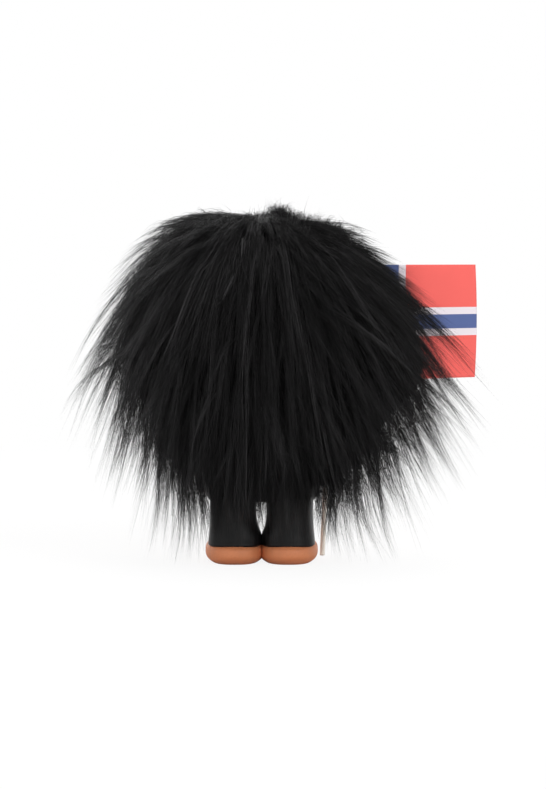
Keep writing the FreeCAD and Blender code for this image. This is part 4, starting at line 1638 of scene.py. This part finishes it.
@dataclass
class Mouth:
    """The dark paint along the carved mouth line, laid where a ray from ahead meets the head."""

    bow_radius: float = 16.0 * MM
    lowest: float = 83.4 * MM
    half_angle: float = 0.50
    half_width: float = 0.62 * MM
    narrowest: float = 0.02
    sunk: float = 0.30 * MM
    rows: int = 48
    columns: int = 12
    start_y: float = -0.2

    def build(self, material: bpy.types.Material) -> None:
        """A tube along an arc of a circle that bows down, tapering as an ellipse does to its ends.

        Args:
            material: Its finish.
        """
        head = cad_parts["head"]
        angles = np.linspace(-self.half_angle, self.half_angle, self.rows)
        x = self.bow_radius * np.sin(angles)
        z = self.lowest + self.bow_radius * (1.0 - np.cos(angles))
        ahead = Vector((0.0, 1.0, 0.0))
        hits = [head.ray_cast(Vector((a, self.start_y, b)), ahead) for a, b in zip(x, z)]
        y = np.array([hit[1].y if hit[0] else np.nan for hit in hits])
        y = np.interp(x, x[~np.isnan(y)], y[~np.isnan(y)]) + self.sunk
        path = np.stack([x, y, z], axis=-1)
        along = unit(np.gradient(path, axis=0))
        out = unit(np.cross(along, UP))
        up = np.cross(out, along)
        swell = np.clip(1.0 - (angles / self.half_angle) ** 2, self.narrowest, 1.0)
        radius = self.half_width * np.sqrt(swell)
        turn = np.linspace(0.0, ROUND, self.columns, endpoint=False)
        rings = path[:, None] + radius[:, None, None] * (
            out[:, None] * np.cos(turn)[None, :, None] + up[:, None] * np.sin(turn)[None, :, None]
        )
        make_piece(
            "mouth_paint_line", rings, capped_rings(self.rows, self.columns), material, FIGURE,
        )


# Legs and feet


@dataclass
class Leg:
    """A smooth trouser leg: nearly straight outside, and drawn in inside above the ankle.

    Heights and side lines are in millimetres, and the rounding is the share of its full depth.
    """

    side: float
    name: str
    heights: tuple[float, ...] = (7.3, 7.7, 9.0, 11.5, 14.5, 18.0, 22.0, 27.5)
    outer: tuple[float, ...] = (21.2, 21.75, 21.9, 21.7, 21.4, 21.2, 21.1, 21.2)
    inner: tuple[float, ...] = (0.70, 0.15, -0.02, -0.02, 0.95, 1.85, 2.2, 2.2)
    rounding: tuple[float, ...] = (0.96, 0.99, 1.0, 1.0, 1.0, 1.0, 1.0, 1.0)
    rows: int = 64
    columns: int = 96
    squareness: float = 2.5

    def build(self, material: bpy.types.Material) -> None:
        """Level superellipse rings between the two side lines, as deep as the leg that it replaces.

        Args:
            material: Its finish.
        """
        low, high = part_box(self.name)
        half_depth, middle_y = 0.5 * (high[1] - low[1]), 0.5 * (high[1] + low[1])
        height = np.linspace(self.heights[0], self.heights[-1], self.rows)
        outer = curve_through(height, self.heights, self.outer)
        inner = curve_through(height, self.heights, self.inner)
        rounding = curve_through(height, self.heights, self.rounding)
        turn = np.linspace(0.0, ROUND, self.columns, endpoint=False)
        across, deep = superellipse(turn, self.squareness)
        x = 0.5 * (outer + inner)[:, None] + 0.5 * (outer - inner)[:, None] * across[None, :]
        y = middle_y + half_depth * rounding[:, None] * deep[None, :]
        z = np.broadcast_to(height[:, None], x.shape)
        piece = make_piece(
            self.name + "_cloth", np.stack([self.side * x * MM, y, z * MM], axis=-1),
            capped_rings(self.rows, self.columns), material, FIGURE,
        )
        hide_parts(self.name)


@dataclass
class Foot:
    """A bare rounded troll foot with four toes, soft all round and flat under the sole."""

    side: float
    name: str
    middle_x: float = 10.95 * MM
    heel_y: float = 12.8 * MM
    toe_y: float = -31.0 * MM
    half_width: float = 12.3 * MM
    squareness: float = 2.55
    height: float = 10.4 * MM
    toe_height: float = 6.4 * MM
    slope_start: float = 2.0 * MM
    slope_share: float = 0.7
    widest: float = 4.6 * MM
    sole_inset: float = 0.24
    sole_power: float = 2.6
    top_inset: float = 0.80
    top_power: float = 3.0
    toes: tuple[float, ...] = (-0.56, -0.16, 0.20, 0.54)
    toe_widths: tuple[float, ...] = (0.20, 0.15, 0.14, 0.13)
    toe_start: float = 0.55
    toe_span: float = 0.3
    toe_bulge: float = 2.2 * MM
    toe_rise: float = 0.5 * MM
    toe_flare: float = 1.2 * MM
    toe_setback: float = 1.6 * MM
    columns: int = 160
    rows: int = 40

    def build(self, material: bpy.types.Material) -> None:
        """Level rings from the sole up to the instep.

        A ring is a superellipse round the foot's middle, wider in front, with a lobe for each toe,
        which is a bell curve across the foot. Small toes are set back, the top slopes down to the
        toes, and nothing crosses the middle plane between the feet.

        Args:
            material: Its finish.
        """
        turn, rise = np.meshgrid(
            np.linspace(0.0, ROUND, self.columns, endpoint=False),
            np.linspace(0.0, 1.0, self.rows),
        )
        middle_y = 0.5 * (self.heel_y + self.toe_y)
        half_length = 0.5 * (self.heel_y - self.toe_y)
        forward = np.clip(-np.sin(turn), 0.0, 1.0)
        across, along = superellipse(turn, self.squareness)
        lobes = sum(
            np.exp(-(((across - place) / width) ** 2))
            for place, width in zip(self.toes, self.toe_widths)
        ) * smooth((forward - self.toe_start) / self.toe_span)
        profile = self.profile(rise)
        half_width = self.half_width + self.toe_flare * forward
        x = self.side * (self.middle_x + half_width * across * profile)
        setback = (across + 1.0) * self.toe_setback * forward
        y = middle_y + (half_length * along + setback - self.toe_bulge * lobes) * profile
        slope = smooth((middle_y + self.slope_start - y) / (self.slope_share * half_length))
        top = self.height + (self.toe_height - self.height) * slope
        z = rise * (top + self.toe_rise * lobes)
        x = self.side * np.maximum(self.side * x, 0.0)
        piece = make_piece(
            self.name + "_skin", np.stack([x, y, z], axis=-1),
            capped_rings(self.rows, self.columns), material, FIGURE,
        )
        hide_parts(self.name)

    def profile(self, rise: Array) -> Array:
        """The rings' size by height: rounded in at the sole, full at the widest, then drawn in.

        Args:
            rise: Shares of the height.

        Returns:
            Shares of the full size.
        """
        widest = self.widest / self.height
        below = np.abs(1.0 - np.minimum(rise / widest, 1.0))
        above = np.maximum(rise - widest, 0.0) / (1.0 - widest)
        low = 1.0 - self.sole_inset * below ** self.sole_power
        return low * np.sqrt(np.maximum(1.0 - self.top_inset * above ** self.top_power, 0.0))


# Flag


@dataclass
class Flag:
    """Thin printed cloth on a sleeve that turns on the stick: straight, then one soft bend."""

    foot: Triple = (-25.4 * MM, -24.0 * MM, 0.046 * MM)
    lean: float = 2.5
    bottom: float = 74.35 * MM
    plumb: float = 1.0
    bulge: float = 0.65 * MM
    height: float = 48.0 * MM
    length: float = 66.0 * MM
    straight: float = 28.0 * MM
    bend_radius: float = 20.0 * MM
    bend: float = 34.0
    thickness: float = 0.24 * MM
    columns: int = 90
    rows: int = 60
    ripple: float = 0.35 * MM
    ripple_turn: float = 2.2 * math.pi
    ripple_slant: float = 1.3

    def build(self, material: bpy.types.Material) -> None:
        """Both faces of the cloth as one closed sheet that hangs from the leaning stick.

        Args:
            material: Its finish.
        """
        u = np.linspace(0.0, 1.0, self.columns)
        v = np.linspace(0.0, 1.0, self.rows)
        line, across = self.plan(u * self.length)
        phase = self.ripple_turn * u[None, :] + self.ripple_slant * v[:, None]
        ripples = self.ripple * np.sin(phase) * smooth(u)[None, :]
        rise = np.broadcast_to((self.bottom + v * self.height)[:, None], ripples.shape)
        sides = []
        for side in (0.5, -0.5):
            offset = ripples + side * self.thickness
            flat = line[None, :, :] + across[None, :, :] * offset[..., None]
            sides.append(self.hung(np.concatenate([flat, rise[..., None]], axis=-1), u))
        piece = make_piece(
            "flag_cloth", np.concatenate(sides), slab_faces(self.rows, self.columns), material,
            BANNER,
        )
        grid = np.stack(np.meshgrid(u, v), axis=-1)
        add_map(piece, CLOTH_MAP, np.concatenate([grid, grid]))
        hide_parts("flag")

    def plan(self, run: Array) -> tuple[Array, Array]:
        """The flag's middle line seen from above: straight, then an arc, then straight again.

        Args:
            run: Distances along the cloth from the stick.

        Returns:
            Level points from the stick, and unit vectors across the cloth there.
        """
        bend = math.radians(self.bend)
        turned = np.clip((run - self.straight) / self.bend_radius, 0.0, bend)
        tail = np.maximum(run - self.straight - self.bend_radius * bend, 0.0)
        near = np.minimum(run, self.straight)
        x = -near - self.bend_radius * np.sin(turned) - tail * np.cos(turned)
        y = -self.bend_radius * (1.0 - np.cos(turned)) - tail * np.sin(turned)
        across = np.stack([-np.sin(turned), np.cos(turned)], axis=-1)
        return np.stack([x, y], axis=-1), across

    def hung(self, local: Array, share: Array) -> Array:
        """Points from the stick's own frame to the row frame.

        The sleeve leans with the stick. The cloth runs level from it, and the further a point is
        from the stick, the more plumb its threads hang. The free edge bows out a little.

        Args:
            local: Points as along the cloth, across it and up the stick.
            share: Each column's share of the way to the free edge.

        Returns:
            The points in the row frame.
        """
        turn = math.radians(self.lean)
        rise = local[..., 2]
        half = 0.5 * self.height
        from_middle = rise - (self.bottom + half)
        x = local[..., 0] - rise * math.sin(turn)
        x = x + from_middle * math.sin(turn) * self.plumb * share[None, :]
        x = x - self.bulge * share[None, :] ** 2 * (1.0 - (from_middle / half) ** 2)
        upright = rise * math.cos(turn)
        return np.stack([x, local[..., 1], upright], axis=-1) + np.array(self.foot)


# Stage


@dataclass(frozen=True)
class Lamp:
    """A square area lamp: its name, its place, its power in watts and its side in metres."""

    name: str
    place: Triple
    power: float
    size: float


@dataclass
class Stage:
    """Pale floor, soft light and the camera behind the figure.

    The floor keeps a light shadow near the figure and fades to white between two distances.
    """

    camera_place: Triple = (-0.00466, 1.012, 0.126)
    aim: Triple = (-0.00466, 0.012, 0.0699)
    lens: float = 112.86
    sensor: float = 36.0
    clip: Pair = (0.01, 50.0)
    light_strength: float = 0.55
    floor_half: float = 6.0
    floor_colour: Colour = (0.86, 0.86, 0.86)
    floor_roughness: float = 0.5
    floor_white: float = 0.88
    fade_start: float = 0.22
    fade_length: float = 0.40
    lit: Triple = (0.0, 0.0, 0.07)
    lamps: tuple[Lamp, ...] = (
        Lamp("key", (-0.66, 0.68, 0.78), 5.2, 0.7),
        Lamp("fill", (0.80, 0.85, 0.40), 2.5, 0.9),
        Lamp("low", (-0.46, 1.08, 0.11), 6.0, 0.9),
        Lamp("top", (0.0, -0.15, 1.1), 5.5, 0.9),
        Lamp("front", (0.35, -0.95, 0.55), 5.0, 0.8),
    )

    def build(self) -> None:
        """Builds the camera, the world, the floor and the lamps."""
        self.build_camera()
        self.build_world()
        self.build_floor()
        for lamp in self.lamps:
            self.build_lamp(lamp)

    @staticmethod
    def set_up(thing: bpy.types.Object, place: Triple, aim: Triple) -> None:
        """Puts a camera or a lamp in the scene.

        Args:
            thing: The object.
            place: Where it stands.
            aim: The point that it looks at.
        """
        thing.location = place
        direction = Vector(aim) - Vector(place)
        thing.rotation_euler = direction.to_track_quat("-Z", "Y").to_euler()
        bpy.context.scene.collection.objects.link(thing)

    def build_camera(self) -> None:
        """Looks from behind at the figure's middle."""
        data = bpy.data.cameras.new("camera")
        data.lens = self.lens
        data.sensor_width = self.sensor
        data.clip_start, data.clip_end = self.clip
        camera = bpy.data.objects.new("camera", data)
        self.set_up(camera, self.camera_place, self.aim)
        bpy.context.scene.camera = camera

    def build_world(self) -> None:
        """Soft even light, but white where the camera, a gloss or a glass sees past the object."""
        work = NodeWork(bpy.data.worlds.new("studio"))
        mirrored = work.ray("Is Glossy Ray").or_more(work.ray("Is Transmission Ray"))
        seen = work.ray("Is Camera Ray").or_more(mirrored)
        strength = seen * (1.0 - self.light_strength) + self.light_strength
        sky = work.node("ShaderNodeBackground", {}, {"Color": WHITE, "Strength": strength})
        bpy.context.scene.world = work.finished(sky, "ShaderNodeOutputWorld")

    def build_floor(self) -> None:
        """A wide pale floor that keeps a light shadow and is otherwise white to the camera."""
        work = new_finish("pale_floor")
        away = work.node(
            "ShaderNodeVectorMath", {"operation": "LENGTH"}, {0: work.place()}, "Value",
        )
        faded = ((away - self.fade_start) * (1.0 / self.fade_length)).clamped()
        share = faded * (1.0 - self.floor_white) + self.floor_white
        plain = work.node(
            "ShaderNodeBsdfDiffuse", {},
            {"Color": self.floor_colour, "Roughness": self.floor_roughness},
        )
        white = work.node("ShaderNodeEmission", {}, {"Color": WHITE, "Strength": 1.0})
        seen = work.ray("Is Camera Ray") * share
        shader = work.node("ShaderNodeMixShader", {}, {0: seen, 1: plain, 2: white})
        half = self.floor_half
        corners = [(-half, -half, 0.0), (half, -half, 0.0), (half, half, 0.0), (-half, half, 0.0)]
        mesh = bpy.data.meshes.new("floor")
        mesh.from_pydata(corners, [], [(0, 1, 2, 3)])
        mesh.materials.append(work.finished(shader))
        floor = bpy.data.objects.new("floor", mesh)
        bpy.context.scene.collection.objects.link(floor)

    def build_lamp(self, lamp: Lamp) -> None:
        """Aims a lamp at the figure.

        Args:
            lamp: The lamp.
        """
        data = bpy.data.lights.new(lamp.name, "AREA")
        data.energy = lamp.power
        data.size = lamp.size
        self.set_up(bpy.data.objects.new(lamp.name, data), lamp.place, self.lit)


def main() -> None:
    """Builds the stage and every sub-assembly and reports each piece."""
    logging.basicConfig(level=logging.INFO, format="%(name)s: %(message)s")
    bpy.context.scene.view_settings.view_transform = "Standard"
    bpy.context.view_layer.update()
    Stage().build()
    Undercoat().build(UndercoatFinish().material())
    fur = FurFinish().material()
    Mane().build(fur)
    Brows().build(fur)
    Flag().build(FlagFinish().material())
    trousers = SatinFinish().material()
    skin = SkinFinish().material()
    for side, word in ((1.0, "left"), (-1.0, "right")):
        Leg(side, word + "_leg").build(trousers)
        Foot(side, word + "_foot").build(skin)
    dress_node("trousers", trousers)
    for name in (
        "torso", "head", "left_ear", "right_ear", "left_arm", "right_arm", "left_hand",
        "right_hand",
    ):
        dress_node(name, skin)
    eye_paint = EyeFinish().material()
    for name in ("left_eye", "right_eye"):
        Eye(name).build(eye_paint, skin)
    Mouth().build(MouthFinish().material())
    dress_node("flag_stick", StickFinish().material())
    pins = PinFinish().material()
    for name in ("ankle_pins", "hip_pins", "waist_pin", "neck_pin", "shoulder_pins", "wrist_pins"):
        dress_node(name, pins)


if __name__ == "__main__":
    main()
